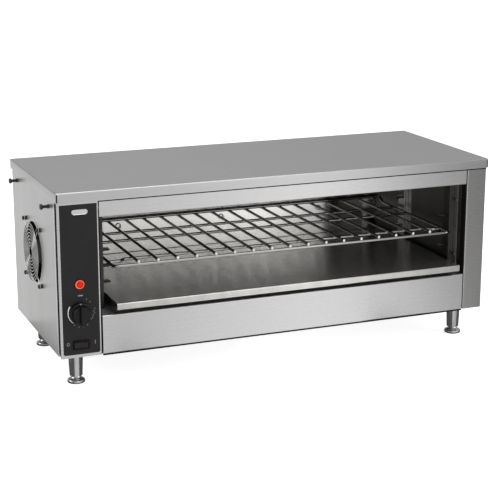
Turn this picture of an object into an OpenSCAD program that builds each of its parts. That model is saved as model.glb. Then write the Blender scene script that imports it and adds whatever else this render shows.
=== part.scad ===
// Countertop cheese melter: an open-fronted heated cabinet on four levelling legs.
// It holds a chrome rack under two tubular heating elements and a pull-out crumb tray.
// Millimetres. X runs to the right, Y to the back, Z up, and the feet stand on Z = 0.
// Modules are drawn with Z = 0 at the underside of the body; placed() sets them on the legs.

/* [Body] */
// Width over the two side panels
body_w = 850; // [760:1:1100]
// Depth from the front panels to the back panel
body_d = 328; // [310:1:420]
// Height from the underside of the body to the top of the cover
body_h = 298; // [290:1:380]
// Thickness of the outer sheet
sheet_t = 1.2; // [0.8:0.1:1.5]
// Thickness of the sheet that lines the cavity
liner_t = 0.8; // [0.6:0.1:1.2]
// Width of the folded flanges that carry screws and welds
flange_w = 14; // [12:1:18]

/* [Cover] */
// Height of the rim folded down around the cover
cover_lip = 18; // [14:1:24]
// Gap between the rim and the left side panel
cover_fit = 0.3; // [0.2:0.1:1]
// Gap between the rim and the right side panel
cover_gap_right = 1.4; // [0.2:0.1:3]
// Gap between the rim and the front panels
cover_front_gap = 1; // [0.8:0.1:3]
// How far the cover reaches past the back panel
cover_back = 10; // [6:1:20]

/* [Front] */
// Width of the control column, from the body's side to the opening
column_w = 77.2; // [76:0.1:100]
// Width of the plain post on the right of the opening
post_w = 41.4; // [36:0.1:70]
// Open seam between the front panels and the post
seam = 2; // [1.5:0.5:4]
// Open seam between the control panel and the front panels
column_seam = 3.9; // [1.5:0.1:5]
// How far the left side panel's front edge stands behind the control panel
side_set_back = 15; // [6:0.5:18]
// Dark recess between the left side panel and the control panel's return
column_gap = 3; // [1:0.1:4]
// Height of the lower front panel, which is the level of the cavity floor
floor_z = 71.5; // [66:0.5:95]
// Height of the strip above the opening that shows under the cover
valance_h = 28; // [22:1:40]
// Seam between that strip and the cover's rim
cover_reveal = 2; // [1:0.5:4]

/* [Controls] */
// Stainless border on the left of the black overlay
bezel_w = 4.7; // [2:0.1:6]
// Stainless border on the right of the black overlay
bezel_right = 3.8; // [2:0.1:6]
// Border left under the overlay
bezel_bottom = 5.5; // [5:0.1:12]
// Thickness of the overlay
overlay_t = 0.4; // [0.3:0.1:0.8]
// Radius of the overlay's bottom corners
overlay_r = 4; // [2:1:8]
// Height of the pilot light's centre
pilot_z = 133.7; // [128:0.1:150]
// Diameter of the pilot lens
pilot_d = 16; // [13:0.5:18]
// Height of the knob's centre
knob_z = 80.5; // [72:0.1:88]
// Diameter of the knob's skirt
knob_d = 41; // [34:1:46]
// Height of the knob from its back to its grip
knob_h = 22; // [18:1:26]
// Diameter of the control shaft
shaft_d = 6; // [6:0.1:6.4]
// Height of the rocker switch's centre
rocker_z = 23; // [20:0.5:34]
// Width of the rocker switch's bezel
rocker_w = 31; // [28:0.5:36]
// Height of the rocker switch's bezel
rocker_h = 17.5; // [15:0.5:22]
// Tilt of the rocker from one side to the other
rocker_swing = 16; // [10:1:18]

/* [Rack] */
// Mean clearance between the rack and the supports' raised faces
rack_play = 8.7; // [5:0.1:10]
// Sideways play taken up by the rack
rack_shift = 0.8; // [-2:0.1:2]
// Diameter of the frame wire
frame_wire = 6; // [5:0.5:8]
// Diameter of the cross wires and the top wires
top_wire = 5; // [4:0.5:6]
// Number of top wires
wire_count = 17; // [9:2:17]
// Distance between top wires
wire_pitch = 36.8; // [24:0.1:38]
// Height between two rack levels
level_pitch = 29.6; // [24:0.1:30]
// Height of the lowest rack level above the cavity floor
level_first = 49.1; // [44:0.1:60]
// Rise of the rack's rear rail above its frame
rail_rise = 11; // [11:0.5:16]

/* [Rack supports] */
// Width of a support channel's raised face
channel_w = 25; // [20:1:30]
// How far the raised face stands off the left wall
channel_d_left = 16; // [12:0.5:17]
// How far the raised face stands off the right wall
channel_d_right = 11; // [8:0.5:12]
// Width of a support channel's side flange
channel_flange = 12; // [10:1:16]
// Distance from the front panels to the front channel
channel_front = 41; // [36:1:60]
// Distance between the front channel and the rear channel
channel_span = 185; // [150:1:190]
// Length of a support tab
tab_l = 14; // [13:0.5:16]
// Length of the lowest tabs, which the tray passes
tab_short = 4; // [2:0.5:4.5]
// Width of a support tab
tab_w = 10; // [8:1:14]

/* [Crumb tray] */
// Mean clearance between the tray and the supports' raised faces
tray_play = 6.2; // [5.5:0.1:12]
// Sideways play taken up by the tray
tray_shift = 1.2; // [-1:0.1:1.2]
// Height of the tray's top over the cavity floor
tray_h = 23; // [18:0.5:28]
// How far the tray stands out of the front panels
tray_proud = 14; // [6:1:24]
// Height of the tray's front lip
tray_lip = 12.5; // [9:0.5:15]

/* [Heating] */
// Diameter of the element tube
element_d = 8; // [6.5:0.5:10]
// Distance between the two runs of one element
element_gap = 45; // [36:1:60]
// Distance between the two elements
element_pitch = 150; // [120:1:160]
// Depth of the element's axis under the reflector
element_drop = 14; // [12:0.5:16]

/* [Fan] */
// Side of the fan's square frame
fan_size = 120; // [120:1:124]
// Depth of the fan
fan_depth = 38; // [36:1:40]
// Distance between the fan's screws
fan_pitch = 105; // [105:0.5:106]
// Distance of the fan's axis from the middle of the body, towards the back
fan_y = 9; // [-10:1:40]
// Height of the fan's axis
fan_z = 154; // [120:1:170]
// Diameter of the guard's wire
guard_wire = 2; // [1.5:0.1:2.2]

/* [Legs] */
// Height of the body above the worktop
leg_h = 60; // [56:0.5:110]
// Diameter of a leg at its top
leg_d = 28.5; // [24:0.5:34]
// Diameter of a leg at its bottom
leg_tip_d = 23.5; // [18:0.5:27]
// Distance of a leg's axis from the body's side
leg_inset_x = 37; // [32:0.5:60]
// Distance of a front leg's axis from the body's front
leg_inset_front = 42; // [38:1:80]
// Distance of a rear leg's axis from the body's back
leg_inset_rear = 57; // [36:1:80]
// Diameter of the levelling foot
foot_d = 32; // [28:1:40]
// Travel of the levelling foot
foot_travel = 19; // [10:1:22]

/* [Side pins] */
// Length of the two pins that keep the side off a wall
pin_l = 16; // [13:1:30]
// Diameter of a pin's head
pin_head_d = 10; // [8:0.5:14]

/* [Hidden] */
$fn = 64;

// Clearances and overshoots
cut = 1;                 // how far a cutting tool runs past a face
run_fit = 0.05;          // radial clearance of a shaft in its bearing
loose_fit = 0.3;         // clearance of a piece that slides, or of a screw in its hole
hole_fit = 0.1;          // radial clearance of a screw in a sheet

// Planes of the body
x_l = -body_w / 2;
x_r = body_w / 2;
y_f = -body_d / 2;
y_b = body_d / 2;
z_roof = body_h - sheet_t;
z_lip = body_h - cover_lip;
z_deck = 2 * sheet_t;
cover_over = sheet_t + cover_fit;
cover_over_right = sheet_t + cover_gap_right;
cover_over_front = sheet_t + cover_front_gap;

// Planes of the opening and the cavity
open_l = x_l + column_w;
open_r = x_r - post_w - seam;
cavity_x = (open_l + open_r) / 2;
valance_z = z_lip - cover_reveal - valance_h;
reflector_z = valance_z + 22;
back_space = 5;
liner_y = y_b - sheet_t - back_space - liner_t;
liner_front = y_f + flange_w + 2;

// Control column
return_x = x_l + sheet_t + column_gap;
return_d = side_set_back + 20;
panel_r = open_l - column_seam;
overlay_l = x_l + bezel_w;
overlay_r_x = panel_r - bezel_right;
overlay_top = z_lip - 3.8;
ctl_x = (overlay_l + overlay_r_x) / 2;
face_y = y_f - overlay_t;
badge_x = ctl_x + 3.5;
badge_z = z_lip - 17.4;
badge_w = 29;
badge_h = 9.5;
badge_t = 0.8;

// Pilot light
pilot_bezel_d = pilot_d + 3;
pilot_bezel_t = 2;
pilot_barrel_d = 12.6;
pilot_barrel_l = 26;

// Knob, shaft and regulator
bushing_d = 9.4;
bushing_out = 7;
knob_back = 1;
knob_skirt_t = 5;
knob_cone_d = knob_d - 6;
knob_grip_w = 9;
knob_cone_h = 8;
knob_recess_d = 19;
knob_recess_h = 8;
nut_af = 14;
nut_t = 2.4;
regulator_size = [44, 46, 38];
shaft_in = 22;
shaft_flat = 1.2;
pointer_size = [2.2, 0.6, 9];
y_knob_back = face_y - knob_back;
y_knob_front = y_knob_back - knob_h;

// Rocker switch
rocker_bezel_t = 2;
rocker_wall = 1.5;
rocker_body = [rocker_w - 4, 24, rocker_h - 4];
rocker_hole = [rocker_body[0] - 2 * rocker_wall, 12, rocker_body[2] - 2 * rocker_wall];
rocker_play = 0.35;
paddle_half = rocker_hole[0] / 2 - 0.7;
paddle_t = 4;
pivot_d = 3;
pivot_y = face_y + 1;

// Rack
rack_z = floor_z + level_first + level_pitch + loose_fit + frame_wire / 2;
wire_z = rack_z + frame_wire / 2 + top_wire / 2;
cross_z = rack_z + (frame_wire - top_wire) / 2;
rail_z = rack_z + rail_rise;
face_l = open_l + channel_d_left;
face_r = open_r - channel_d_right;
faces_x = (face_l + face_r) / 2;
rack_w = face_r - face_l - 2 * rack_play;
rack_x = faces_x + rack_shift;
rack_front = y_f + 18;
rack_rear = liner_y - 5;
rack_bend = 10;
rack_rise_y = rack_rear - 16;
cross_rear = liner_y - 71;
cross_mid = cross_rear - 60;
cross_front = rack_front + 42;
jog_y = 10;
jog_x = 30;
level_count = 3;

// Hooks pressed out of the back liner
hook_d = 11;
hook_wall = 1.2;
hook_l = 7;
hook_pitch = 219;

// Screws
screw_d = 3.4;
screw_head_d = 7;
screw_head_t = 2.2;
screw_l = 9;

// Element fittings
element_z = reflector_z - element_drop;
element_end = open_r - 34;
element_lead = 26;
bushing_flange_d = 16;
bushing_core_d = 12;

// Fan
fan_x = x_l + sheet_t;
fan_bore = fan_size - 6;
fan_hole = fan_bore - 1;
fan_screw_d = 4;
fan_base_t = 4;
stator_d = 38;
hub_d = 46;
hub_l = 26;
blade_count = 7;
blade_reach = fan_bore / 2 - 2.5;
fan_shaft_d = 4;
spacer_l = 3;
spacer_d = 8;
guard_rings = 8;
guard_r_max = fan_bore / 2 - 3;
guard_r_min = 12;
guard_x = x_l - spacer_l - guard_wire / 2;
pin_d = 5.5;
pin_y = [-112, 124];
pin_z = z_lip - 15;

// Legs
leg_x = body_w / 2 - leg_inset_x;
leg_front_y = y_f + leg_inset_front;
leg_rear_y = y_b - leg_inset_rear;
foot_t = 10;
foot_neck = 3;
foot_neck_d = 13;
foot_stud_d = 8;
foot_stud_l = foot_travel + 16;
leg_stud_d = 9.5;
leg_nut_af = 16;
leg_nut_r = leg_nut_af / 2 / cos(30);
leg_bottom = -leg_h + foot_t + foot_neck;

// Mains inlet and things in the control compartment
gland_x = ctl_x;
gland_z = 40;
gland_d = 20;
gland_bore = 12;
gland_out = 18;
gland_in = 12;
block_size = [40, 60, 22];
block_y = leg_rear_y - leg_nut_r - 1 - block_size[1];
wire_d = 3;

// The origin lies under the middle of the whole object's box
x_low = x_l - pin_l;
x_high = x_r + cover_over_right;
y_low = y_knob_front;
y_high = y_b + gland_out;
shift_x = -(x_low + x_high) / 2;
shift_y = -(y_low + y_high) / 2;

module placed() {
    translate([shift_x, shift_y, leg_h])
        children();
}

// A box from its low corner to its high corner
module block(low, high) {
    translate(low)
        cube(high - low);
}

// A round rod from one point to another
module rod(a, b, d) {
    v = b - a;
    translate(a)
        rotate([0, acos(v[2] / norm(v)), atan2(v[1], v[0])])
            cylinder(h = norm(v), d = d);
}

// A bent rod with slightly swollen round joints between its straight runs
module bent_rod(points, d) {
    for (i = [0:len(points) - 2])
        rod(points[i], points[i + 1], d);
    for (i = [1:len(points) - 2])
        translate(points[i])
            sphere(d = d + 0.2);
}

// A cylinder that points along +X or along +Y from its start
module along_x(p, l, d) {
    translate(p)
        rotate([0, 90, 0])
            cylinder(h = l, d = d);
}

module along_y(p, l, d) {
    translate(p)
        rotate([-90, 0, 0])
            cylinder(h = l, d = d);
}

// A hexagonal nut blank, measured across its flats
module hex(af, h) {
    cylinder(h = h, d = af / cos(30), $fn = 6);
}

// Places of repeated fasteners
cover_screw_x = [-0.45 * body_w, -0.15 * body_w, 0.15 * body_w, 0.45 * body_w];
back_screw_z = [20, floor_z + 20, valance_z - 60, valance_z + 12];
side_screw_y = [-110, 0, 110];
front_screw_x = [x_l + 24, panel_r - 14, open_l + 60, cavity_x, open_r - 60];
front_screw_y = y_f + 9;
side_screw_x = body_w / 2 - sheet_t - flange_w / 2;
cover_screw_z = body_h - cover_lip / 2;
level_z = [for (k = [0:level_count - 1]) floor_z + level_first + k * level_pitch];
channel_screw_z = [floor_z + 32, valance_z - 37];
channel_y = [y_f + channel_front + channel_w / 2, y_f + channel_front + channel_span + channel_w / 2];
channel_screw_dy = channel_w / 2 + channel_flange / 2;
fan_corners = [for (a = [-1, 1], b = [-1, 1]) [fan_y + a * fan_pitch / 2, fan_z + b * fan_pitch / 2]];
element_y = [-element_pitch / 2, element_pitch / 2];
bracket_x = [open_l + 130, open_r - 150];
lead_y = [for (e = element_y, s = [-1, 1]) e + s * element_gap / 2];

module top_cover() {
    color("darkgray")
        placed()
            difference() {
                block([x_l - cover_over, y_f - cover_over_front, z_lip],
                    [x_r + cover_over_right, y_b + cover_back, body_h]);
                block([x_l - cover_fit, y_f - cover_front_gap, z_lip - cut],
                    [x_r + cover_gap_right, y_b + cover_back - sheet_t, z_roof]);
                for (x = cover_screw_x)
                    along_y([x, y_b + cover_back - sheet_t - cut, cover_screw_z],
                        sheet_t + 2 * cut, screw_d + 2 * hole_fit);
            }
}

// One side wall with its top, bottom and back flanges, from front to back;
// side is -1 on the left and 1 on the right
module side_shell(side, front) {
    x_out = side * body_w / 2;
    x_in = x_out - side * sheet_t;
    x_flange = x_in - side * flange_w;
    difference() {
        union() {
            block([min(x_out, x_in), front, 0], [max(x_out, x_in), y_b - sheet_t, z_roof]);
            block([min(x_in, x_flange), y_f + 20, 0], [max(x_in, x_flange), y_b - sheet_t, sheet_t]);
            block([min(x_in, x_flange), y_f + 20, z_roof - sheet_t],
                [max(x_in, x_flange), y_b - sheet_t, z_roof]);
            block([min(x_in, x_flange), y_b - 2 * sheet_t, 0],
                [max(x_in, x_flange), y_b - sheet_t, z_roof]);
        }
        for (z = back_screw_z)
            along_y([side * side_screw_x, y_b - 2 * sheet_t - cut, z],
                sheet_t + 2 * cut, screw_d + 2 * hole_fit);
        for (y = side_screw_y)
            translate([side * side_screw_x, y, -cut])
                cylinder(h = sheet_t + 2 * cut, d = screw_d + 2 * hole_fit);
    }
}

module left_side_panel() {
    color("silver")
        placed()
            difference() {
                side_shell(-1, y_f + side_set_back);
                along_x([x_l - cut, fan_y, fan_z], sheet_t + 2 * cut, fan_hole);
                for (c = fan_corners)
                    along_x([x_l - cut, c[0], c[1]], sheet_t + 2 * cut, fan_screw_d + 2 * loose_fit);
                for (y = pin_y)
                    along_x([x_l - cut, y, pin_z], sheet_t + 2 * cut, pin_d + 2 * hole_fit);
            }
}

module right_side_panel() {
    post_x = x_r - post_w;
    color("silver")
        placed()
            union() {
                side_shell(1, y_f);
                block([post_x, y_f, 0], [x_r - sheet_t, y_f + sheet_t, z_roof]);
                block([post_x, y_f + sheet_t, z_deck], [post_x + sheet_t, y_f + flange_w, z_roof]);
            }
}

module back_panel() {
    lip_y = y_b + cover_back - sheet_t;
    vent_w = 44;
    vent_h = 4;
    color("silver")
        placed()
            difference() {
                union() {
                    block([x_l, y_b - sheet_t, 0], [x_r, y_b, z_lip + sheet_t]);
                    block([x_l, y_b, z_lip], [x_r, lip_y, z_lip + sheet_t]);
                    block([x_l, lip_y - sheet_t, z_lip + sheet_t], [x_r, lip_y, z_roof]);
                }
                for (k = [0:8])
                    block([ctl_x - vent_w / 2, y_b - sheet_t - cut, fan_z - 40 + 12 * k],
                        [ctl_x + vent_w / 2, y_b + cut, fan_z - 40 + 12 * k + vent_h]);
                for (s = [-1, 1], z = back_screw_z)
                    along_y([s * side_screw_x, y_b - sheet_t - cut, z],
                        sheet_t + 2 * cut, screw_d + 2 * hole_fit);
                for (x = cover_screw_x)
                    along_y([x, lip_y - sheet_t - cut, cover_screw_z],
                        sheet_t + 2 * cut, screw_d + 2 * hole_fit);
                along_y([gland_x, y_b - sheet_t - cut, gland_z],
                    sheet_t + 2 * cut, gland_d + 2 * hole_fit);
            }
}

module bottom_panel() {
    edge_x = x_r - sheet_t - loose_fit;
    edge_f = y_f + sheet_t + loose_fit;
    edge_b = y_b - 2 * sheet_t - loose_fit;
    color("silver")
        placed()
            difference() {
                union() {
                    block([-edge_x, edge_f, sheet_t], [edge_x, edge_b, z_deck]);
                    block([open_l, edge_f, z_deck], [open_r - 1, edge_f + sheet_t, z_deck + flange_w]);
                }
                for (sx = [-1, 1], y = [leg_front_y, leg_rear_y])
                    translate([sx * leg_x, y, 0])
                        cylinder(h = z_deck + cut, d = leg_stud_d + 2 * loose_fit);
                for (s = [-1, 1], y = side_screw_y)
                    translate([s * side_screw_x, y, 0])
                        cylinder(h = z_deck + cut, d = screw_d + 2 * hole_fit);
                for (x = front_screw_x)
                    translate([x, front_screw_y, 0])
                        cylinder(h = z_deck + cut, d = screw_d + 2 * hole_fit);
                for (k = [0:5])
                    block([ctl_x - 22, -60 + 14 * k, 0], [ctl_x + 22, -56 + 14 * k, z_deck + cut]);
            }
}

module front_lower_panel() {
    color("lightgray")
        placed()
            difference() {
                union() {
                    block([open_l, y_f, 0], [open_r, y_f + sheet_t, floor_z]);
                    block([open_l, y_f + sheet_t, floor_z - sheet_t], [open_r, y_f + flange_w, floor_z]);
                    block([open_l, y_f + sheet_t, 0], [open_r, y_f + flange_w, sheet_t]);
                }
                for (x = front_screw_x)
                    translate([x, front_screw_y, -cut])
                        cylinder(h = sheet_t + 2 * cut, d = screw_d + 2 * hole_fit);
            }
}

module front_valance() {
    color("lightgray")
        placed()
            union() {
                block([open_l, y_f, valance_z], [open_r, y_f + sheet_t, z_roof]);
                block([open_l, y_f + sheet_t, valance_z], [open_r, y_f + flange_w, valance_z + sheet_t]);
                block([open_l, y_f + flange_w - sheet_t, valance_z + sheet_t],
                    [open_r, y_f + flange_w, valance_z + 12]);
                block([open_l, y_f + sheet_t, z_roof - sheet_t], [open_r, y_f + flange_w, z_roof]);
            }
}

module control_panel() {
    foot_l = x_l + sheet_t + flange_w + loose_fit;
    color("silver")
        placed()
            difference() {
                union() {
                    block([x_l, y_f, 0], [panel_r, y_f + sheet_t, z_roof]);
                    block([x_l, y_f + sheet_t, z_deck], [return_x + sheet_t, y_f + 2 * sheet_t, z_roof]);
                    block([return_x, y_f + 2 * sheet_t, z_deck],
                        [return_x + sheet_t, y_f + return_d, z_roof - sheet_t]);
                    block([panel_r - sheet_t, y_f + sheet_t, z_deck], [panel_r, y_f + flange_w, z_roof]);
                    block([foot_l, y_f + sheet_t, 0], [panel_r - sheet_t, y_f + flange_w, sheet_t]);
                }
                along_y([ctl_x, y_f - cut, pilot_z], sheet_t + 2 * cut, pilot_barrel_d + 2 * hole_fit);
                along_y([ctl_x, y_f - cut, knob_z], sheet_t + 2 * cut, bushing_d + 2 * hole_fit);
                translate([ctl_x, y_f + sheet_t / 2, rocker_z])
                    cube([rocker_body[0] + 2 * hole_fit, sheet_t + 2 * cut, rocker_body[2] + 2 * hole_fit],
                        center = true);
                for (x = front_screw_x)
                    translate([x, front_screw_y, -cut])
                        cylinder(h = sheet_t + 2 * cut, d = screw_d + 2 * hole_fit);
            }
}

module control_overlay() {
    color([0.13, 0.13, 0.14])
        placed()
            difference() {
                union() {
                    block([overlay_l, face_y, bezel_bottom + overlay_r], [overlay_r_x, y_f, overlay_top]);
                    block([overlay_l + overlay_r, face_y, bezel_bottom],
                        [overlay_r_x - overlay_r, y_f, bezel_bottom + 2 * overlay_r]);
                    for (x = [overlay_l + overlay_r, overlay_r_x - overlay_r])
                        along_y([x, face_y, bezel_bottom + overlay_r], overlay_t, 2 * overlay_r);
                }
                along_y([ctl_x, face_y - cut, pilot_z], overlay_t + 2 * cut, pilot_barrel_d + 2 * hole_fit);
                along_y([ctl_x, face_y - cut, knob_z], overlay_t + 2 * cut, bushing_d + 2 * hole_fit);
                translate([ctl_x, y_f, rocker_z])
                    cube([rocker_body[0] + 2 * hole_fit, 2 * cut, rocker_body[2] + 2 * hole_fit],
                        center = true);
            }
}

// A plain plaque with round ends
module badge_plate() {
    color("gainsboro")
        placed()
            union() {
                block([badge_x - (badge_w - badge_h) / 2, face_y - badge_t, badge_z - badge_h / 2],
                    [badge_x + (badge_w - badge_h) / 2, face_y, badge_z + badge_h / 2]);
                for (s = [-1, 1])
                    along_y([badge_x + s * (badge_w - badge_h) / 2, face_y - badge_t, badge_z],
                        badge_t, badge_h);
            }
}

// The floor laps under the lower panel's return at its front edge
module cavity_floor() {
    lap = 8;
    step_y = y_f + flange_w + loose_fit;
    top = floor_z;
    low = floor_z - sheet_t;
    x0 = open_l - liner_t - flange_w;
    x1 = open_r + liner_t + flange_w - 4;
    color("gray")
        placed()
            union() {
                block([x0, step_y, top - liner_t], [x1, liner_y + liner_t, top]);
                block([open_l, step_y, low - liner_t], [open_r, step_y + liner_t, top - liner_t]);
                block([open_l, step_y - lap, low - liner_t], [open_r, step_y, low]);
            }
}

// Two folded channels that carry the floor on the bottom panel
module floor_supports() {
    support_w = 12;
    support_top = floor_z - liner_t;
    y0 = y_f + flange_w + 5;
    y1 = liner_y - 4;
    color("gray")
        placed()
            for (x = [open_l - support_w - 1, min(open_r - 1, leg_x - leg_nut_r - 1 - support_w)])
                difference() {
                    block([x, y0, z_deck], [x + support_w, y1, support_top]);
                    block([x + sheet_t, y0 - cut, z_deck + sheet_t],
                        [x + support_w + cut, y1 + cut, support_top - sheet_t]);
                }
}

// A side liner with flanges turned away from the cavity; side is -1 or 1
module side_liner(side) {
    wall = side < 0 ? open_l : open_r;
    out = wall + side * liner_t;
    edge = out + side * (flange_w - 4);
    difference() {
        union() {
            block([min(wall, out), liner_front, floor_z], [max(wall, out), liner_y, reflector_z]);
            block([min(out, edge), liner_front, floor_z], [max(out, edge), liner_y, floor_z + liner_t]);
            block([min(out, edge), liner_front, reflector_z - liner_t],
                [max(out, edge), liner_y, reflector_z]);
        }
        for (y = channel_y, s = [-1, 1], z = channel_screw_z)
            along_x([min(wall, out) - cut, y + s * channel_screw_dy, z],
                liner_t + 2 * cut, screw_d + 2 * hole_fit);
    }
}

module left_liner() {
    color("dimgray")
        placed()
            difference() {
                side_liner(-1);
                for (y = lead_y)
                    along_x([open_l - liner_t - cut, y, element_z],
                        liner_t + 2 * cut, bushing_core_d + 2 * hole_fit);
            }
}

module right_liner() {
    color("dimgray")
        placed()
            side_liner(1);
}

// The back liner has rows of half-round hooks pressed forward, with a hole behind each
module back_liner() {
    color("lightgray")
        placed()
            union() {
                difference() {
                    block([open_l - liner_t, liner_y, floor_z],
                        [open_r + liner_t, liner_y + liner_t, reflector_z]);
                    for (k = [-1, 0, 1], z = level_z)
                        along_y([k * hook_pitch, liner_y - cut, z],
                            liner_t + 2 * cut, hook_d - 2 * hook_wall);
                }
                for (k = [-1, 0, 1], z = level_z)
                    translate([k * hook_pitch, 0, z])
                        difference() {
                            along_y([0, liner_y - hook_l, 0], hook_l, hook_d);
                            along_y([0, liner_y - hook_l - cut, 0],
                                hook_l + 2 * cut, hook_d - 2 * hook_wall);
                            block([-hook_d, liner_y - hook_l - cut, 0], [hook_d, liner_y + cut, hook_d]);
                        }
            }
}

module heat_reflector() {
    skirt = 10;
    x0 = open_l - liner_t - flange_w + 4;
    x1 = open_r + liner_t + flange_w - 4;
    color("lightgray")
        placed()
            union() {
                block([x0, liner_front, reflector_z], [x1, liner_y, reflector_z + liner_t]);
                block([x0, liner_front, reflector_z + liner_t],
                    [x1, liner_front + liner_t, reflector_z + skirt]);
            }
}

module insulation_top() {
    color("wheat")
        placed()
            block([open_l, liner_front + 4, reflector_z + liner_t], [open_r, liner_y - 4, z_roof - 4]);
}

module insulation_back() {
    color("wheat")
        placed()
            block([open_l + 4, liner_y + liner_t, floor_z + 4],
                [open_r - 4, liner_y + liner_t + back_space - 0.6, reflector_z - 4]);
}

// The lower half of a short tube that stands off a channel's face
module half_tab(p, side, l) {
    translate([min(p[0], p[0] - side * l), p[1], p[2]])
        difference() {
            along_x([0, 0, 0], l, tab_w);
            along_x([-cut, 0, 0], l + 2 * cut, tab_w - 2 * sheet_t);
            block([-cut, -tab_w, 0], [l + cut, tab_w, tab_w]);
        }
}

// A hat-shaped channel on a side wall, with half-round tabs that carry the rack
module rack_channel(side, y) {
    wall = side < 0 ? open_l : open_r;
    face = side < 0 ? face_l : face_r;
    z0 = floor_z + liner_t;
    z1 = element_z - bushing_flange_d / 2 - 2;
    color("darkgray")
        placed()
            union() {
                difference() {
                    block([min(wall, face), y - channel_w / 2, z0], [max(wall, face), y + channel_w / 2, z1]);
                    block([min(wall, face) + (side < 0 ? -cut : liner_t), y - channel_w / 2 + liner_t, z0 - cut],
                        [max(wall, face) + (side < 0 ? -liner_t : cut), y + channel_w / 2 - liner_t,
                        z1 + cut]);
                }
                for (s = [-1, 1])
                    difference() {
                        block([wall - (side < 0 ? 0 : liner_t), y + s * channel_screw_dy - channel_flange / 2, z0],
                            [wall + (side < 0 ? liner_t : 0), y + s * channel_screw_dy + channel_flange / 2,
                            z1]);
                        for (z = channel_screw_z)
                            along_x([wall - 2 * cut, y + s * channel_screw_dy, z],
                                4 * cut, screw_d + 2 * hole_fit);
                    }
                for (z = level_z)
                    half_tab([face, y, z], side, tab_l);
                half_tab([face, y, level_z[0] - level_pitch], side, tab_short);
            }
}

module rack_channel_left_front() {
    rack_channel(-1, channel_y[0]);
}

module rack_channel_left_rear() {
    rack_channel(-1, channel_y[1]);
}

module rack_channel_right_front() {
    rack_channel(1, channel_y[0]);
}

module rack_channel_right_rear() {
    rack_channel(1, channel_y[1]);
}

// A pan-head sheet screw that points along +Z, its head below Z = 0
module screw(l = screw_l) {
    cylinder(h = l, d = screw_d);
    translate([0, 0, -screw_head_t])
        cylinder(h = screw_head_t, d = screw_head_d);
}

module channel_screws() {
    color([0.2, 0.2, 0.2])
        placed()
            for (y = channel_y, s = [-1, 1], z = channel_screw_z) {
                translate([open_l + liner_t, y + s * channel_screw_dy, z])
                    rotate([0, -90, 0])
                        screw(6);
                translate([open_r - liner_t, y + s * channel_screw_dy, z])
                    rotate([0, 90, 0])
                        screw(6);
            }
}

// The rack's frame is one bent wire with a raised rear rail, and three cross wires
module rack_frame() {
    xa = rack_x - rack_w / 2 + frame_wire / 2;
    xb = rack_x + rack_w / 2 - frame_wire / 2;
    color("gainsboro")
        placed()
            union() {
                rod([xa + rack_bend, rack_front, rack_z], [xb - rack_bend, rack_front, rack_z], frame_wire);
                for (c = [[xa + rack_bend, 180], [xb - rack_bend, 270]])
                    translate([c[0], rack_front + rack_bend, rack_z])
                        rotate([0, 0, c[1]])
                            rotate_extrude(angle = 90)
                                translate([rack_bend, 0])
                                    circle(d = frame_wire);
                for (x = [xa, xb])
                    bent_rod([[x, rack_front + rack_bend, rack_z], [x, rack_rise_y, rack_z],
                        [x, rack_rear, rail_z], [rack_x, rack_rear, rail_z]], frame_wire);
                for (y = [cross_mid, cross_rear])
                    rod([xa, y, cross_z], [xb, y, cross_z], top_wire);
                bent_rod([[xa, cross_front - jog_y, cross_z], [xa + jog_x - jog_y, cross_front - jog_y, cross_z],
                    [xa + jog_x, cross_front, cross_z], [xb - jog_x, cross_front, cross_z],
                    [xb - jog_x + jog_y, cross_front - jog_y, cross_z], [xb, cross_front - jog_y, cross_z]],
                    top_wire);
            }
}

module rack_wires() {
    color("gainsboro")
        placed()
            for (i = [0:wire_count - 1])
                along_y([rack_x + (i - (wire_count - 1) / 2) * wire_pitch, rack_front - 3, wire_z],
                    rack_rear - rack_front + 5, top_wire);
}

// A folded tray with its flanges down; the side flanges slope up behind the front lip
module crumb_tray() {
    x0 = face_l + tray_play + tray_shift;
    x1 = face_r - tray_play + tray_shift;
    front = y_f - tray_proud;
    rear = liner_y - hook_l - 3;
    top = floor_z + tray_h;
    slope = 36;
    color("lightgray")
        placed()
            union() {
                block([x0, front, top - sheet_t], [x1, rear, top]);
                block([x0, front, top - tray_lip], [x1, front + sheet_t, top]);
                block([x0, rear - sheet_t, floor_z + 8], [x1, rear, top]);
                for (x = [x0, x1 - sheet_t])
                    translate([x, 0, 0])
                        rotate([90, 0, 90])
                            linear_extrude(sheet_t)
                                polygon([[front, top], [front, top - tray_lip], [front + slope, floor_z],
                                    [rear, floor_z], [rear, top]]);
            }
}

// A hairpin tubular element whose two ends pass through the left liner
module heating_element(y) {
    x0 = open_l - element_lead;
    color([0.25, 0.22, 0.2])
        placed()
            union() {
                for (s = [-1, 1]) {
                    along_x([x0 + 10, y + s * element_gap / 2, element_z], element_end - x0 - 10, element_d);
                    along_x([x0, y + s * element_gap / 2, element_z], 12, 3);
                }
                translate([element_end, y, element_z])
                    rotate([0, 0, -90])
                        rotate_extrude(angle = 180)
                            translate([element_gap / 2, 0])
                                circle(d = element_d);
            }
}

module heating_element_front() {
    heating_element(element_y[0]);
}

module heating_element_rear() {
    heating_element(element_y[1]);
}

// Hangers that hold the elements under the reflector
module element_brackets() {
    drop = element_drop + element_d / 2 + 2;
    half = element_gap / 2 + element_d;
    color("darkgray")
        placed()
            for (x = bracket_x, y = element_y)
                difference() {
                    union() {
                        block([x, y - half, reflector_z - drop], [x + sheet_t, y + half, reflector_z]);
                        block([x, y - half, reflector_z - sheet_t], [x + 12, y + half, reflector_z]);
                    }
                    for (s = [-1, 1])
                        along_x([x - cut, y + s * element_gap / 2, element_z],
                            sheet_t + 2 * cut, element_d + 2 * loose_fit);
                }
}

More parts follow.
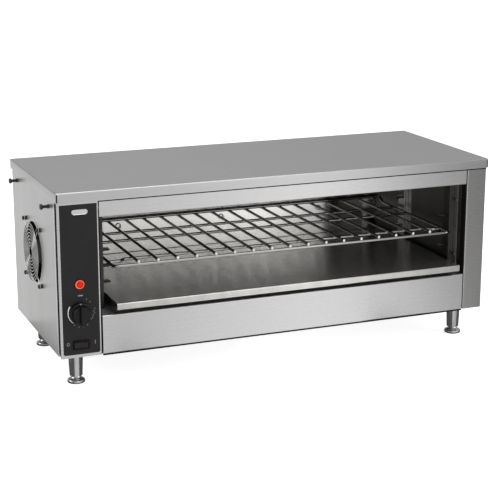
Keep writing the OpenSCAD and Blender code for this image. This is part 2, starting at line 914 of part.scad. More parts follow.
// Ceramic bushings around the element ends, with a flange on the control side
module element_bushings() {
    color("ivory")
        placed()
            for (y = lead_y)
                difference() {
                    union() {
                        along_x([open_l - liner_t - 8, y, element_z], 8 + liner_t + 4, bushing_core_d);
                        along_x([open_l - liner_t - 4, y, element_z], 4, bushing_flange_d);
                    }
                    along_x([open_l - 20, y, element_z], 40, element_d + 2 * hole_fit);
                }
}

// Infinite heat switch: a box with a threaded bushing that carries the shaft
module heat_regulator() {
    bore_end = y_f + sheet_t + shaft_in;
    color([0.45, 0.43, 0.4])
        placed()
            difference() {
                union() {
                    block([ctl_x - regulator_size[0] / 2, y_f + sheet_t, knob_z - regulator_size[2] / 2],
                        [ctl_x + regulator_size[0] / 2, y_f + sheet_t + regulator_size[1],
                        knob_z + regulator_size[2] / 2]);
                    along_y([ctl_x, face_y - bushing_out, knob_z],
                        bushing_out + overlay_t + sheet_t + 1, bushing_d);
                    for (x = [-14, 0, 14])
                        block([ctl_x + x - 3, y_f + sheet_t + regulator_size[1], knob_z - 0.4],
                            [ctl_x + x + 3, y_f + sheet_t + regulator_size[1] + 8, knob_z + 0.4]);
                }
                along_y([ctl_x, face_y - bushing_out - cut, knob_z],
                    bore_end - face_y + bushing_out + cut, shaft_d + 2 * run_fit);
            }
}

module regulator_nut() {
    color("silver")
        placed()
            translate([ctl_x, face_y, knob_z])
                rotate([90, 0, 0])
                    difference() {
                        hex(nut_af, nut_t);
                        translate([0, 0, -cut])
                            cylinder(h = nut_t + 2 * cut, d = bushing_d + 2 * hole_fit);
                    }
}

module control_shaft() {
    tip = y_knob_front + 6;
    color("silver")
        placed()
            difference() {
                along_y([ctl_x, tip, knob_z], y_f + shaft_in - tip, shaft_d);
                block([ctl_x - shaft_d, tip - cut, knob_z + shaft_d / 2 - shaft_flat],
                    [ctl_x + shaft_d, y_knob_back - knob_h + 14, knob_z + shaft_d]);
            }
}

// A skirted knob with a straight grip across its face
module control_knob() {
    bore_l = y_knob_back - (y_knob_front + 6) + 0.5;
    color([0.08, 0.08, 0.08])
        placed()
            difference() {
                translate([ctl_x, y_knob_back, knob_z])
                    rotate([90, 0, 0])
                        difference() {
                            union() {
                                cylinder(h = knob_skirt_t - 1, d = knob_d);
                                translate([0, 0, knob_skirt_t - 1])
                                    cylinder(h = 1, d1 = knob_d, d2 = knob_d - 2);
                                translate([0, 0, knob_skirt_t])
                                    cylinder(h = knob_cone_h, d1 = knob_cone_d, d2 = knob_cone_d - 4);
                                intersection() {
                                    cylinder(h = knob_h, d = knob_cone_d + 2);
                                    translate([-knob_grip_w / 2, -knob_d / 2, 0])
                                        cube([knob_grip_w, knob_d, knob_h]);
                                }
                            }
                            translate([0, 0, -cut])
                                cylinder(h = knob_recess_h + cut, d = knob_recess_d);
                            translate([0, 0, -cut])
                                cylinder(h = bore_l + cut, d = shaft_d + 2 * run_fit);
                        }
                pointer_bar(cut);
            }
}

// The bar let into the end of the grip, with extra length towards the front when it cuts its slot
module pointer_bar(extra = 0) {
    tip_z = knob_z + knob_cone_d / 2;
    block([ctl_x - pointer_size[0] / 2, y_knob_front - extra, tip_z - pointer_size[2]],
        [ctl_x + pointer_size[0] / 2, y_knob_front + pointer_size[1], tip_z]);
}

module knob_pointer() {
    color("white")
        placed()
            pointer_bar();
}

// A snap-in switch case with an open face for the paddle
module rocker_housing() {
    wall_y = face_y - rocker_bezel_t;
    color([0.07, 0.07, 0.07])
        placed()
            translate([ctl_x, 0, rocker_z])
                difference() {
                    union() {
                        block([-rocker_w / 2, wall_y, -rocker_h / 2], [rocker_w / 2, face_y, rocker_h / 2]);
                        block([-rocker_body[0] / 2, face_y, -rocker_body[2] / 2],
                            [rocker_body[0] / 2, face_y + rocker_body[1], rocker_body[2] / 2]);
                        for (x = [-8, 0, 8])
                            block([x - 0.4, face_y + rocker_body[1], -2.4],
                                [x + 0.4, face_y + rocker_body[1] + 8, 2.4]);
                    }
                    block([-rocker_hole[0] / 2, wall_y - cut, -rocker_hole[2] / 2],
                        [rocker_hole[0] / 2, face_y + rocker_hole[1], rocker_hole[2] / 2]);
                    translate([0, pivot_y, -rocker_h / 2 + 2.6])
                        cylinder(h = rocker_h - 5.2, d = pivot_d + 2 * run_fit);
                }
}

// The paddle rests with its left side pressed in
module rocker() {
    half_h = rocker_hole[2] / 2 - rocker_play;
    tilt = rocker_swing / 2;
    rise = paddle_half * tan(tilt);
    color([0.09, 0.09, 0.09])
        placed()
            translate([ctl_x, pivot_y, rocker_z])
                rotate([0, 0, -tilt])
                    union() {
                        translate([0, 0, -half_h])
                            linear_extrude(2 * half_h)
                                polygon([[-paddle_half, -1 - rise - 1.6], [0, -2.6], [paddle_half, -1 - rise - 1.6],
                                    [paddle_half, -1 - rise - 1.6 + paddle_t], [0, paddle_t - 1.6],
                                    [-paddle_half, -1 - rise - 1.6 + paddle_t]]);
                        translate([0, 0, -rocker_h / 2 + 2.9])
                            cylinder(h = rocker_h - 5.8, d = pivot_d);
                    }
}

module pilot_housing() {
    color([0.1, 0.1, 0.1])
        placed()
            translate([ctl_x, face_y, pilot_z])
                rotate([-90, 0, 0])
                    difference() {
                        union() {
                            translate([0, 0, -pilot_bezel_t])
                                cylinder(h = pilot_bezel_t, d = pilot_bezel_d);
                            cylinder(h = pilot_barrel_l, d = pilot_barrel_d);
                            for (s = [-1, 1])
                                translate([s * 3 - 0.4, -2.4, pilot_barrel_l])
                                    cube([0.8, 4.8, 7]);
                        }
                        translate([0, 0, -pilot_bezel_t - cut])
                            cylinder(h = pilot_bezel_t + 0.5 + cut, d = pilot_d + 2 * hole_fit);
                    }
}

// A shallow round lens seated in the bezel
module pilot_lens() {
    crown = 4;
    ball_r = (pow(pilot_d / 2, 2) + pow(crown, 2)) / (2 * crown);
    rim = 0.5;
    color("red")
        placed()
            translate([ctl_x, face_y, pilot_z])
                rotate([90, 0, 0])
                    union() {
                        cylinder(h = pilot_bezel_t + rim, d = pilot_d);
                        translate([0, 0, pilot_bezel_t + rim])
                            intersection() {
                                cylinder(h = crown, d = pilot_d);
                                translate([0, 0, crown - ball_r])
                                    sphere(r = ball_r);
                            }
                    }
}

// Square fan body with its motor carried on three arms at the inner side
module fan_frame() {
    base_x = fan_x + fan_depth - fan_base_t;
    color([0.12, 0.12, 0.12])
        placed()
            union() {
                difference() {
                    block([fan_x, fan_y - fan_size / 2, fan_z - fan_size / 2],
                        [fan_x + fan_depth, fan_y + fan_size / 2, fan_z + fan_size / 2]);
                    along_x([fan_x - cut, fan_y, fan_z], fan_depth + 2 * cut, fan_bore);
                    for (c = fan_corners)
                        along_x([fan_x - cut, c[0], c[1]], fan_depth + 2 * cut, fan_screw_d + 2 * loose_fit);
                }
                difference() {
                    union() {
                        along_x([base_x, fan_y, fan_z], fan_base_t, stator_d + 6);
                        along_x([base_x - 21, fan_y, fan_z], 22, stator_d);
                        for (a = [30, 150, 270])
                            translate([base_x, fan_y, fan_z])
                                rotate([a, 0, 0])
                                    block([0.5, -3, 10], [fan_base_t - 0.5, 3, fan_bore / 2 + 1]);
                    }
                    along_x([base_x - 21 - cut, fan_y, fan_z], 24, fan_shaft_d + 2 * run_fit);
                }
            }
}

// Cup-shaped hub with pitched blades and a short shaft
module fan_impeller() {
    hub_x = fan_x + 6;
    color([0.16, 0.16, 0.16])
        placed()
            translate([hub_x, fan_y, fan_z])
                rotate([0, 90, 0])
                    union() {
                        difference() {
                            union() {
                                cylinder(h = hub_l, d = hub_d);
                                for (k = [0:blade_count - 1])
                                    rotate([0, 0, k * 360 / blade_count])
                                        intersection() {
                                            cylinder(h = hub_l, r = blade_reach);
                                            translate([hub_d / 2 - 2, 0, hub_l / 2])
                                                rotate([38, 0, 0])
                                                    translate([0, -16, -0.9])
                                                        cube([blade_reach, 32, 1.8]);
                                        }
                            }
                            translate([0, 0, 3])
                                cylinder(h = hub_l, d = stator_d + 3);
                        }
                        translate([0, 0, 2])
                            cylinder(h = hub_l - 1, d = fan_shaft_d);
                    }
}

// Wire guard: rings on four spokes, each spoke ending in an eye around a screw
module fan_guard() {
    eye_r = fan_screw_d / 2 + guard_wire / 2 + loose_fit;
    eye_at = fan_pitch / sqrt(2);
    ring_gap = (guard_r_max - guard_r_min) / (guard_rings - 1);
    color("silver")
        placed()
            union() {
                for (i = [0:guard_rings - 1])
                    translate([guard_x - guard_wire - run_fit, fan_y, fan_z])
                        rotate([0, 90, 0])
                            rotate_extrude()
                                translate([guard_r_min + i * ring_gap, 0])
                                    circle(d = guard_wire);
                for (a = [45, 135, 225, 315])
                    translate([guard_x, fan_y, fan_z])
                        rotate([a, 0, 0]) {
                            rod([0, 0, guard_r_min - 1], [0, 0, eye_at - eye_r], guard_wire);
                            translate([0, 0, eye_at])
                                rotate([0, 90, 0])
                                    rotate_extrude()
                                        translate([eye_r, 0])
                                            circle(d = guard_wire);
                        }
            }
}

module fan_spacers() {
    color([0.1, 0.1, 0.1])
        placed()
            for (c = fan_corners)
                difference() {
                    along_x([x_l - spacer_l, c[0], c[1]], spacer_l, spacer_d);
                    along_x([x_l - spacer_l - cut, c[0], c[1]],
                        spacer_l + 2 * cut, fan_screw_d + 2 * hole_fit);
                }
}

// Long screws through guard, spacer, side panel and fan, each with its nut
module fan_screws() {
    head_x = guard_x - guard_wire / 2;
    inner_x = fan_x + fan_depth;
    color([0.1, 0.1, 0.1])
        placed()
            for (c = fan_corners)
                translate([0, c[0], c[1]]) {
                    along_x([head_x - 3, 0, 0], 3, 8);
                    along_x([head_x - 1, 0, 0], inner_x - head_x + 5, fan_screw_d);
                    translate([inner_x, 0, 0])
                        rotate([0, 90, 0])
                            hex(7, 3.2);
                }
}

// Two headed pins near the top of the left side
module side_pins() {
    head_t = 5;
    color([0.1, 0.1, 0.1])
        placed()
            for (y = pin_y)
                translate([0, y, pin_z]) {
                    along_x([x_l - pin_l, 0, 0], head_t, pin_head_d);
                    along_x([x_l - pin_l + 1, 0, 0], pin_l + 7, pin_d);
                    along_x([x_l - 3, 0, 0], 3, pin_d + 2);
                    translate([x_l + sheet_t, 0, 0])
                        rotate([0, 90, 0])
                            hex(9, 3);
                }
}

module terminal_block() {
    x0 = ctl_x - block_size[0] / 2;
    color("ivory")
        placed()
            difference() {
                block([x0, block_y, z_deck], [x0 + block_size[0], block_y + block_size[1], z_deck + block_size[2]]);
                for (k = [0:2])
                    block([x0 + 4, block_y + 6 + k * 18, z_deck + 12],
                        [x0 + block_size[0] - 4, block_y + 18 + k * 18, z_deck + block_size[2] + cut]);
            }
}

// Supply and element leads inside the control compartment
module wiring() {
    reg_y = y_f + sheet_t + regulator_size[1] + 8;
    lead_end = open_l - element_lead - wire_d / 2;
    wire_run = ctl_x + 14;
    duct_z = z_deck + block_size[2] + 12;
    block_top = z_deck + 12 + wire_d / 2;
    color("firebrick")
        placed()
            union() {
                for (k = [0, 1]) {
                    x = ctl_x - 14 + 14 * k;
                    bent_rod([[x, reg_y, knob_z], [x, reg_y + 10, knob_z], [x, reg_y + 10, duct_z],
                        [x, block_y + 12 + 18 * k, duct_z], [x, block_y + 12 + 18 * k, block_top]], wire_d);
                }
                bent_rod([[wire_run, reg_y, knob_z], [wire_run, reg_y + 6, knob_z],
                    [wire_run, reg_y + 6, element_z - 12], [lead_end, lead_y[0], element_z - 12],
                    [lead_end, lead_y[0], element_z]], wire_d);
                bent_rod([[lead_end, lead_y[1], element_z], [lead_end, lead_y[2], element_z]], wire_d);
            }
}

// Snap-action limit thermostat on the outside of the left liner
module limit_thermostat() {
    disc_t = 8;
    x0 = open_l - liner_t - disc_t;
    color([0.15, 0.15, 0.15])
        placed()
            translate([x0, 0, valance_z - 22])
                union() {
                    along_x([0, 0, 0], disc_t, 16);
                    block([disc_t - 1, -13, -6], [disc_t, 13, 6]);
                    for (s = [-1, 1])
                        block([-6, s * 4 - 0.4, -3], [0, s * 4 + 0.4, 3]);
                }
}

module earth_stud() {
    color("goldenrod")
        placed()
            translate([ctl_x, 20, z_deck])
                union() {
                    cylinder(h = 16, d = 5);
                    hex(8, 4);
                    translate([0, 0, 4])
                        cylinder(h = 1, d = 11);
                }
}

// Cable gland in the back panel; its bore is empty
module cord_gland() {
    color([0.1, 0.1, 0.1])
        placed()
            translate([gland_x, y_b, gland_z])
                rotate([-90, 0, 0])
                    difference() {
                        union() {
                            cylinder(h = 3, d = gland_d + 7);
                            translate([0, 0, 3])
                                hex(gland_d + 3, 7);
                            translate([0, 0, 10])
                                cylinder(h = gland_out - 10, d1 = gland_d + 1, d2 = gland_d - 3);
                            translate([0, 0, -sheet_t - gland_in])
                                cylinder(h = sheet_t + gland_in, d = gland_d);
                            translate([0, 0, -sheet_t - 5])
                                hex(gland_d + 6, 5);
                        }
                        translate([0, 0, -sheet_t - gland_in - cut])
                            cylinder(h = gland_out + sheet_t + gland_in + 2 * cut, d = gland_bore);
                    }
}

// Screws of the cover, the back panel, the bottom panel and the front panels
module sheet_screws() {
    color("silver")
        placed() {
            for (x = cover_screw_x)
                translate([x, y_b + cover_back, cover_screw_z])
                    rotate([90, 0, 0])
                        screw(7);
            for (s = [-1, 1], z = back_screw_z)
                translate([s * side_screw_x, y_b, z])
                    rotate([90, 0, 0])
                        screw();
            for (s = [-1, 1], y = side_screw_y)
                translate([s * side_screw_x, y, 0])
                    screw();
            for (x = front_screw_x)
                translate([x, front_screw_y, 0])
                    screw();
        }
}

// A tapered leg with a threaded stud on top and a bore for its foot
module leg(sx, y) {
    collar = 5;
    color("gainsboro")
        placed()
            translate([sx * leg_x, y, 0])
                difference() {
                    union() {
                        translate([0, 0, sheet_t - collar])
                            cylinder(h = collar, d = leg_d);
                        translate([0, 0, leg_bottom])
                            cylinder(h = sheet_t - collar - leg_bottom, d1 = leg_tip_d, d2 = leg_d - 1.5);
                        cylinder(h = 15, d = leg_stud_d);
                    }
                    translate([0, 0, leg_bottom - cut])
                        cylinder(h = foot_stud_l - foot_neck + 1 + cut, d = foot_stud_d + 2 * hole_fit);
                }
}

// A levelling foot: a stud, a neck that stops against the leg, and a round pad
module foot(sx, y) {
    chamfer = 1.5;
    color("gainsboro")
        placed()
            translate([sx * leg_x, y, -leg_h])
                union() {
                    cylinder(h = chamfer, d1 = foot_d - 2 * chamfer, d2 = foot_d);
                    translate([0, 0, chamfer])
                        cylinder(h = foot_t - 2 * chamfer, d = foot_d);
                    translate([0, 0, foot_t - chamfer])
                        cylinder(h = chamfer, d1 = foot_d, d2 = foot_d - 2 * chamfer);
                    cylinder(h = foot_t + foot_neck, d = foot_neck_d);
                    cylinder(h = foot_t + foot_stud_l, d = foot_stud_d);
                }
}

module leg_front_left() {
    leg(-1, leg_front_y);
}

module leg_front_right() {
    leg(1, leg_front_y);
}

module leg_rear_left() {
    leg(-1, leg_rear_y);
}

module leg_rear_right() {
    leg(1, leg_rear_y);
}

module foot_front_left() {
    foot(-1, leg_front_y);
}

module foot_front_right() {
    foot(1, leg_front_y);
}

module foot_rear_left() {
    foot(-1, leg_rear_y);
}

module foot_rear_right() {
    foot(1, leg_rear_y);
}

module leg_nuts() {
    color("silver")
        placed()
            for (sx = [-1, 1], y = [leg_front_y, leg_rear_y])
                translate([sx * leg_x, y, z_deck])
                    difference() {
                        hex(leg_nut_af, 8);
                        translate([0, 0, -cut])
                            cylinder(h = 8 + 2 * cut, d = leg_stud_d + 2 * hole_fit);
                    }
}

top_cover();
left_side_panel();
right_side_panel();
back_panel();
bottom_panel();
front_lower_panel();
front_valance();
control_panel();
control_overlay();
badge_plate();
cavity_floor();
floor_supports();
left_liner();
right_liner();
back_liner();
heat_reflector();
insulation_top();
insulation_back();
rack_channel_left_front();
rack_channel_left_rear();
rack_channel_right_front();
rack_channel_right_rear();
channel_screws();
rack_frame();
rack_wires();
crumb_tray();
heating_element_front();
heating_element_rear();
element_brackets();
element_bushings();
heat_regulator();
regulator_nut();
control_shaft();
control_knob();
knob_pointer();
rocker_housing();
rocker();
pilot_housing();
pilot_lens();
fan_frame();
fan_impeller();
fan_guard();
fan_spacers();
fan_screws();
side_pins();
terminal_block();
wiring();
limit_thermostat();
earth_stud();
cord_gland();
sheet_screws();
leg_front_left();
leg_front_right();
leg_rear_left();
leg_rear_right();
foot_front_left();
foot_front_right();
foot_rear_left();
foot_rear_right();
leg_nuts();
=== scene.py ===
import math

import bmesh
import bpy
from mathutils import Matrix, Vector


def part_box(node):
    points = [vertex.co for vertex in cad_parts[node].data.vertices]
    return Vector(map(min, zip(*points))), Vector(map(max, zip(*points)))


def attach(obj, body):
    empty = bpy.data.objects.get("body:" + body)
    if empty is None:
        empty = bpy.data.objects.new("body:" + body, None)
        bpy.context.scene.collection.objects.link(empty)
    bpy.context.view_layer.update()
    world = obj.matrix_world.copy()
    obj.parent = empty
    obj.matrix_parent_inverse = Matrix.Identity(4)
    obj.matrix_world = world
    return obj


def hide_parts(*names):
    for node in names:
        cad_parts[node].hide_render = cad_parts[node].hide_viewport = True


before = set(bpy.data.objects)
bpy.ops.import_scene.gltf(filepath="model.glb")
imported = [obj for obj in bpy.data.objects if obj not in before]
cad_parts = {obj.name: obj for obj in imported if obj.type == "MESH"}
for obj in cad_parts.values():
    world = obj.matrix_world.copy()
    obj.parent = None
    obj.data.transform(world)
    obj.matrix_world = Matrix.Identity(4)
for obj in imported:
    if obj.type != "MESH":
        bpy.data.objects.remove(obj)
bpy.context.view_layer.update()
print("frame: %d nodes" % len(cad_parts))

# the body's own millimetres: x and y from its middle, z from its underside
halfDepth = 0.164  # metres
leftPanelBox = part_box("left_side_panel")
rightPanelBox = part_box("right_side_panel")
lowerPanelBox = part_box("front_lower_panel")
bodyOrigin = Vector((
    (leftPanelBox[0].x + rightPanelBox[1].x) / 2, lowerPanelBox[0].y + halfDepth, lowerPanelBox[0].z))
mergeDistance = 0.00001  # metres


def at(x, y, z):
    return bodyOrigin + Vector((x, y, z)) / 1000


def span(node):
    low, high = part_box(node)
    return (low - bodyOrigin) * 1000, (high - bodyOrigin) * 1000


def addMesh(name, verts, faces):
    mesh = bpy.data.meshes.new(name)
    mesh.from_pydata(verts, [], faces)
    return mesh


def addObject(name, data):
    obj = bpy.data.objects.new(name, data)
    bpy.context.scene.collection.objects.link(obj)
    return obj


# outlines: points in a plane
def onCircle(u, v, r, degrees):
    a = math.radians(degrees)
    return u + r * math.cos(a), v + r * math.sin(a)


def arcPoints(u, v, r, start, step, count):
    return [onCircle(u, v, r, start + step * k) for k in range(count)]


def roundedRect(u0, v0, u1, v1, r, steps=4):
    corners = ((u1 - r, v0 + r, -90), (u1 - r, v1 - r, 0), (u0 + r, v1 - r, 90), (u0 + r, v0 + r, 180))
    return [p for u, v, start in corners for p in arcPoints(u, v, r, start, 90 / steps, steps + 1)]


def bendPath(points, radii, steps=5):
    # each corner becomes an arc of its own radius; 0 leaves it sharp
    points = [Vector(p) for p in points]
    out = []
    for i, (p, r) in enumerate(zip(points, radii)):
        a = (points[i - 1] - p).normalized()
        b = (points[(i + 1) % len(points)] - p).normalized()
        turn = math.pi - a.angle(b)
        if r <= 0 or turn < 0.001:
            out.append(p)
            continue
        reach = r * math.tan(turn / 2)
        centre = p + (a + b).normalized() * (r / math.cos(turn / 2))
        first, last = p + a * reach - centre, p + b * reach - centre
        for k in range(steps + 1):
            f = k / steps
            arm = math.sin((1 - f) * turn) * first + math.sin(f * turn) * last
            out.append(centre + arm / math.sin(turn))
    return out


def offsetLine(line, distance):
    normals = []
    for a, b in zip(line, line[1:]):
        d = (b - a).normalized()
        normals.append(Vector((-d.y, d.x)))
    out = []
    for p, before, after in zip(line, normals[:1] + normals, normals + normals[-1:]):
        out.append(p + (before + after) / (1 + before.dot(after)) * distance)
    return out


def foldedOutline(points, thick, inner=0.9):
    # the sheet lies on the left of the line; every fold keeps its inner radius
    line = [Vector(p) for p in points]
    near, far = [0], [0]
    for a, b, c in zip(line, line[1:], line[2:]):
        left = (b - a).cross(c - b) > 0
        near.append(inner + thick if left else inner)
        far.append(inner if left else inner + thick)
    return bendPath(line, near + [0]) + bendPath(offsetLine(line, thick), far + [0])[::-1]


# shapes: a pair of lists, points in body millimetres and faces
def newShape():
    return [], []


def inPlan(u, v, w):
    return (u, v, w)


def inSection(u, v, w):
    return (w, u, v)


def inFront(u, v, w):
    return (u, w, v)


def alongAxis(centre, axis):
    x, y, z = centre
    s = -1 if axis[0] == "-" else 1
    return {
        "x": lambda a, b, h: (x + s * h, y + a, z + b),
        "y": lambda a, b, h: (x + a, y + s * h, z + b),
        "z": lambda a, b, h: (x + a, y + b, z + s * h),
    }[axis[-1]]


def addLoft(shape, rings, closed=False, caps=True):
    # rings of equally many points; a closed loft joins its last ring to its first
    verts, faces = shape
    n, count, base = len(rings[0]), len(rings), len(verts)
    for ring in rings:
        verts.extend(Vector(p) for p in ring)
    for i in range(count if closed else count - 1):
        a, b = base + n * i, base + n * ((i + 1) % count)
        faces.extend((a + k, a + (k + 1) % n, b + (k + 1) % n, b + k) for k in range(n))
    if caps and not closed:
        faces.append(tuple(range(base + n - 1, base - 1, -1)))
        faces.append(tuple(range(base + n * (count - 1), base + n * count)))
    return shape


def addPrism(shape, outline, place, low, high):
    return addLoft(shape, [[place(u, v, w) for u, v in outline] for w in (low, high)])


def addPlate(shape, low, high, edge=0.25):
    # a flat bar, eased round its top and bottom faces
    (x0, y0, z0), (x1, y1, z1) = low, high
    e = min(edge, min(x1 - x0, y1 - y0, z1 - z0) / 3)
    rings = []
    for z, i in ((z0, e), (z0 + e, 0), (z1 - e, 0), (z1, e)):
        rings.append([(x0 + i, y0 + i, z), (x1 - i, y0 + i, z), (x1 - i, y1 - i, z), (x0 + i, y1 - i, z)])
    return addLoft(shape, rings)


def addTurned(shape, profile, centre, axis, segments=40, hollow=False):
    # profile holds (radius, height) pairs along the axis; a hollow one closes on itself
    place = alongAxis(centre, axis)
    turns = [2 * math.pi * k / segments for k in range(segments)]
    rings = []
    for r, h in profile:
        r = max(r, 0.001)
        rings.append([place(r * math.cos(a), r * math.sin(a), h) for a in turns])
    return addLoft(shape, rings, closed=hollow)


def addTube(shape, path, radius, sides, closed=False, up=(0, 0, 1)):
    # a round bar along a path; open ends are chamfered
    chamfer = 0.5
    path = [Vector(p) for p in path]
    last = len(path) - 1
    turns = [2 * math.pi * k / sides for k in range(sides)]

    def ring(i, r, shift=0):
        before = path[i - 1] if closed or i else path[0]
        after = path[(i + 1) % len(path)] if closed or i < last else path[last]
        t = (after - before).normalized()
        side = Vector(up).cross(t).normalized()
        top = t.cross(side)
        middle = path[i] + t * shift
        return [middle + side * (r * math.cos(a)) + top * (r * math.sin(a)) for a in turns]

    loops = [ring(i, radius) for i in range(len(path))]
    if not closed:
        small = radius - chamfer * 0.7
        loops[0] = ring(0, radius, chamfer)
        loops[last] = ring(last, radius, -chamfer)
        loops = [ring(0, small), *loops, ring(last, small)]
    return addLoft(shape, loops, closed)


def addCopy(shape, template, place):
    verts, faces = shape
    base = len(verts)
    verts.extend(Vector(place(*v)) for v in template[0])
    faces.extend(tuple(base + i for i in f) for f in template[1])


def frontRing(x, z, halfWidth, halfHeight, corner, steps, y):
    outline = roundedRect(x - halfWidth, z - halfHeight, x + halfWidth, z + halfHeight, corner, steps)
    return [(u, y, v) for u, v in outline]


def addBlades(shape, place, offsets, start, end):
    # flat terminals behind a control
    x, y, z = place
    for dx in offsets:
        addPlate(shape, (x + dx - 0.4, y + start, z - 2.4), (x + dx + 0.4, y + end, z + 2.4))


def holeShape(width, reach, centre, axis, segments=20):
    return addTurned(newShape(), ((width / 2, -reach), (width / 2, reach)), centre, axis, segments)


def tidyMesh(mesh, merge=mergeDistance):
    bm = bmesh.new()
    bm.from_mesh(mesh)
    bmesh.ops.remove_doubles(bm, verts=bm.verts, dist=merge)
    bmesh.ops.recalc_face_normals(bm, faces=bm.faces)
    bm.to_mesh(mesh)
    bm.free()


def cutShape(shape, cutters):
    # works in millimetres on helper objects, which are removed again
    helpers = []
    for verts, faces in [shape] + cutters:
        mesh = addMesh("helper", verts, faces)
        tidyMesh(mesh, 0.0005)
        helpers.append(addObject("helper", mesh))
    for tool in helpers[1:]:
        mod = helpers[0].modifiers.new("cut", "BOOLEAN")
        mod.operation = "DIFFERENCE"
        mod.solver = "EXACT"
        mod.object = tool
    bpy.context.view_layer.update()
    result = helpers[0].evaluated_get(bpy.context.evaluated_depsgraph_get()).to_mesh()
    cut = [v.co.copy() for v in result.vertices], [tuple(p.vertices) for p in result.polygons]
    for helper in helpers:
        mesh = helper.data
        bpy.data.objects.remove(helper)
        bpy.data.meshes.remove(mesh)
    return cut


def easeEdges(obj, width, weld=False):
    if weld:
        mod = obj.modifiers.new("weld", "WELD")
        mod.merge_threshold = mergeDistance
    if width:
        mod = obj.modifiers.new("edges", "BEVEL")
        mod.width = width / 1000
        mod.segments = 2
        mod.limit_method = "ANGLE"
        mod.angle_limit = math.radians(35)
    mod = obj.modifiers.new("normals", "WEIGHTED_NORMAL")
    mod.keep_sharp = True


def makePiece(name, shape, finish, slot, *stands, body="chassis", edge=0.0, sharp=32):
    # stands: the frame's nodes that the piece replaces
    verts, faces = shape
    mesh = addMesh(name, [at(*v) for v in verts], faces)
    tidyMesh(mesh)
    mesh.shade_smooth()
    mesh.set_sharp_from_angle(angle=math.radians(sharp))
    mesh.materials.append(finishes[finish])
    obj = addObject(name, mesh)
    easeEdges(obj, edge)
    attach(obj, body)
    if stands:
        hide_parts(*stands)


# materials
def startMaterial(name):
    mat = bpy.data.materials.new(name)
    mat.use_nodes = True
    return mat, mat.node_tree, mat.node_tree.nodes["Principled BSDF"]


def setSockets(node, values):
    for socket, value in dict(values).items():
        node.inputs[socket].default_value = value


def linkSockets(tree, node, links):
    for socket, source in dict(links).items():
        tree.links.new(source, node.inputs[socket])


def addNode(tree, kind, values=(), links=(), data=None):
    node = tree.nodes.new("ShaderNode" + kind)
    if data:
        node.data_type = data
    setSockets(node, values)
    linkSockets(tree, node, links)
    return node


def mappedPlace(tree, values):
    source = addNode(tree, "TexCoord").outputs["Object"]
    return addNode(tree, "Mapping", values, {"Vector": source}).outputs["Vector"]


# camera
camera = {
    "place": (-1007.6, -2459.0, 814.6),  # body millimetres
    "turn": 22.26,  # degrees to the right of straight ahead
    "tilt": 14.70,  # degrees down
    "roll": -0.08,
    "lens": 101.48,
    "sensor": 36,
    "farthest": 200,  # metres
}


def placeCamera():
    data = bpy.data.cameras.new("camera")
    data.lens = camera["lens"]
    data.sensor_width = camera["sensor"]
    data.clip_end = camera["farthest"]
    eye = addObject("camera", data)
    eye.location = at(*camera["place"])
    eye.rotation_euler = [math.radians(a) for a in (90 - camera["tilt"], camera["roll"], -camera["turn"])]
    bpy.context.scene.camera = eye


placeCamera()

# studio, in metres
studio = {
    "floorSize": 60.0, "floorGlow": 0.80, "floorGrey": 0.93, "skyLevel": 0.45,
    "cardTurn": 25,  # degrees: the bounce cards' light falls off across this way
    "cardGlow": 1.3, "cardLift": 0.0004, "frontGlow": 2.45,
    "cardLevels": (  # place across, level
        (-0.9, 0.46), (-0.55, 0.50), (-0.3, 0.59), (-0.15, 0.73), (0.0, 0.81),
        (0.10, 0.76), (0.20, 0.60), (0.29, 0.42), (0.44, 0.25), (0.7, 0.15)),
    "frontPlace": (3.4, -2.4, 0.9, 0.28, 2.3),  # distance, left, right, bottom, top
    "patchGlow": 0.07, "patchGrey": 0.03,
    "patchUnder": (-0.5, -0.14, 0.5, 0.26, 0.0008),  # left, front, right, rear, height
    "patchRound": (0.018, 0.2, 0.0009),  # radii round each front foot, height
    "patchAngles": ((36, 100), (-100, -34)),  # degrees from straight ahead
    "domeGlow": 0.97, "domeRadius": 28, "domeLow": -10, "domeStep": 12.5,  # the last two in degrees
    "lightAim": (0, 0, 0.15),
    "lights": (  # place, size, watts
        ("overheadLight", (0.2, -0.6, 2.6), 2.2, 22),
        ("rightLight", (2.2, -1.6, 1.2), 1.0, 8),
        ("leftLight", (-2.4, 0.4, 1.4), 1.2, 12),
    ),
}


def hideFrom(obj, *rays):
    for ray in rays:
        setattr(obj, "visible_" + ray, False)


def plainStage(name, verts, faces, mat, *hidden):
    mesh = addMesh(name, verts, faces)
    mesh.materials.append(mat)
    obj = addObject(name, mesh)
    hideFrom(obj, *hidden)


def plainPaint(name, grey, glow, values):
    mat, tree, shader = startMaterial(name)
    setSockets(shader, {"Base Color": (grey, grey, grey, 1), "Emission Color": (1, 1, 1, 1), "Emission Strength": glow})
    setSockets(shader, values)
    return mat


def cardPaint(name, glow):
    mat, tree, shader = startMaterial(name)
    tree.nodes.clear()
    turned = mappedPlace(tree, {"Rotation": (0, 0, -math.radians(studio["cardTurn"]))})
    split = addNode(tree, "SeparateXYZ", links={"Vector": turned})
    place = addNode(tree, "MapRange", {"From Min": -1, "From Max": 1}, {"Value": split.outputs["X"]})
    ramp = addNode(tree, "ValToRGB", links={"Fac": place.outputs["Result"]})
    ramp.color_ramp.interpolation = "B_SPLINE"
    stops = ramp.color_ramp.elements
    while len(stops) < len(studio["cardLevels"]):
        stops.new(0.5)
    for stop, (where, level) in zip(stops, studio["cardLevels"]):
        stop.position = (where + 1) / 2
        stop.color = (level, level, level, 1)
    emit = addNode(tree, "Emission", {"Strength": glow}, {"Color": ramp.outputs["Color"]})
    addNode(tree, "OutputMaterial", links={"Surface": emit.outputs["Emission"]})
    return mat


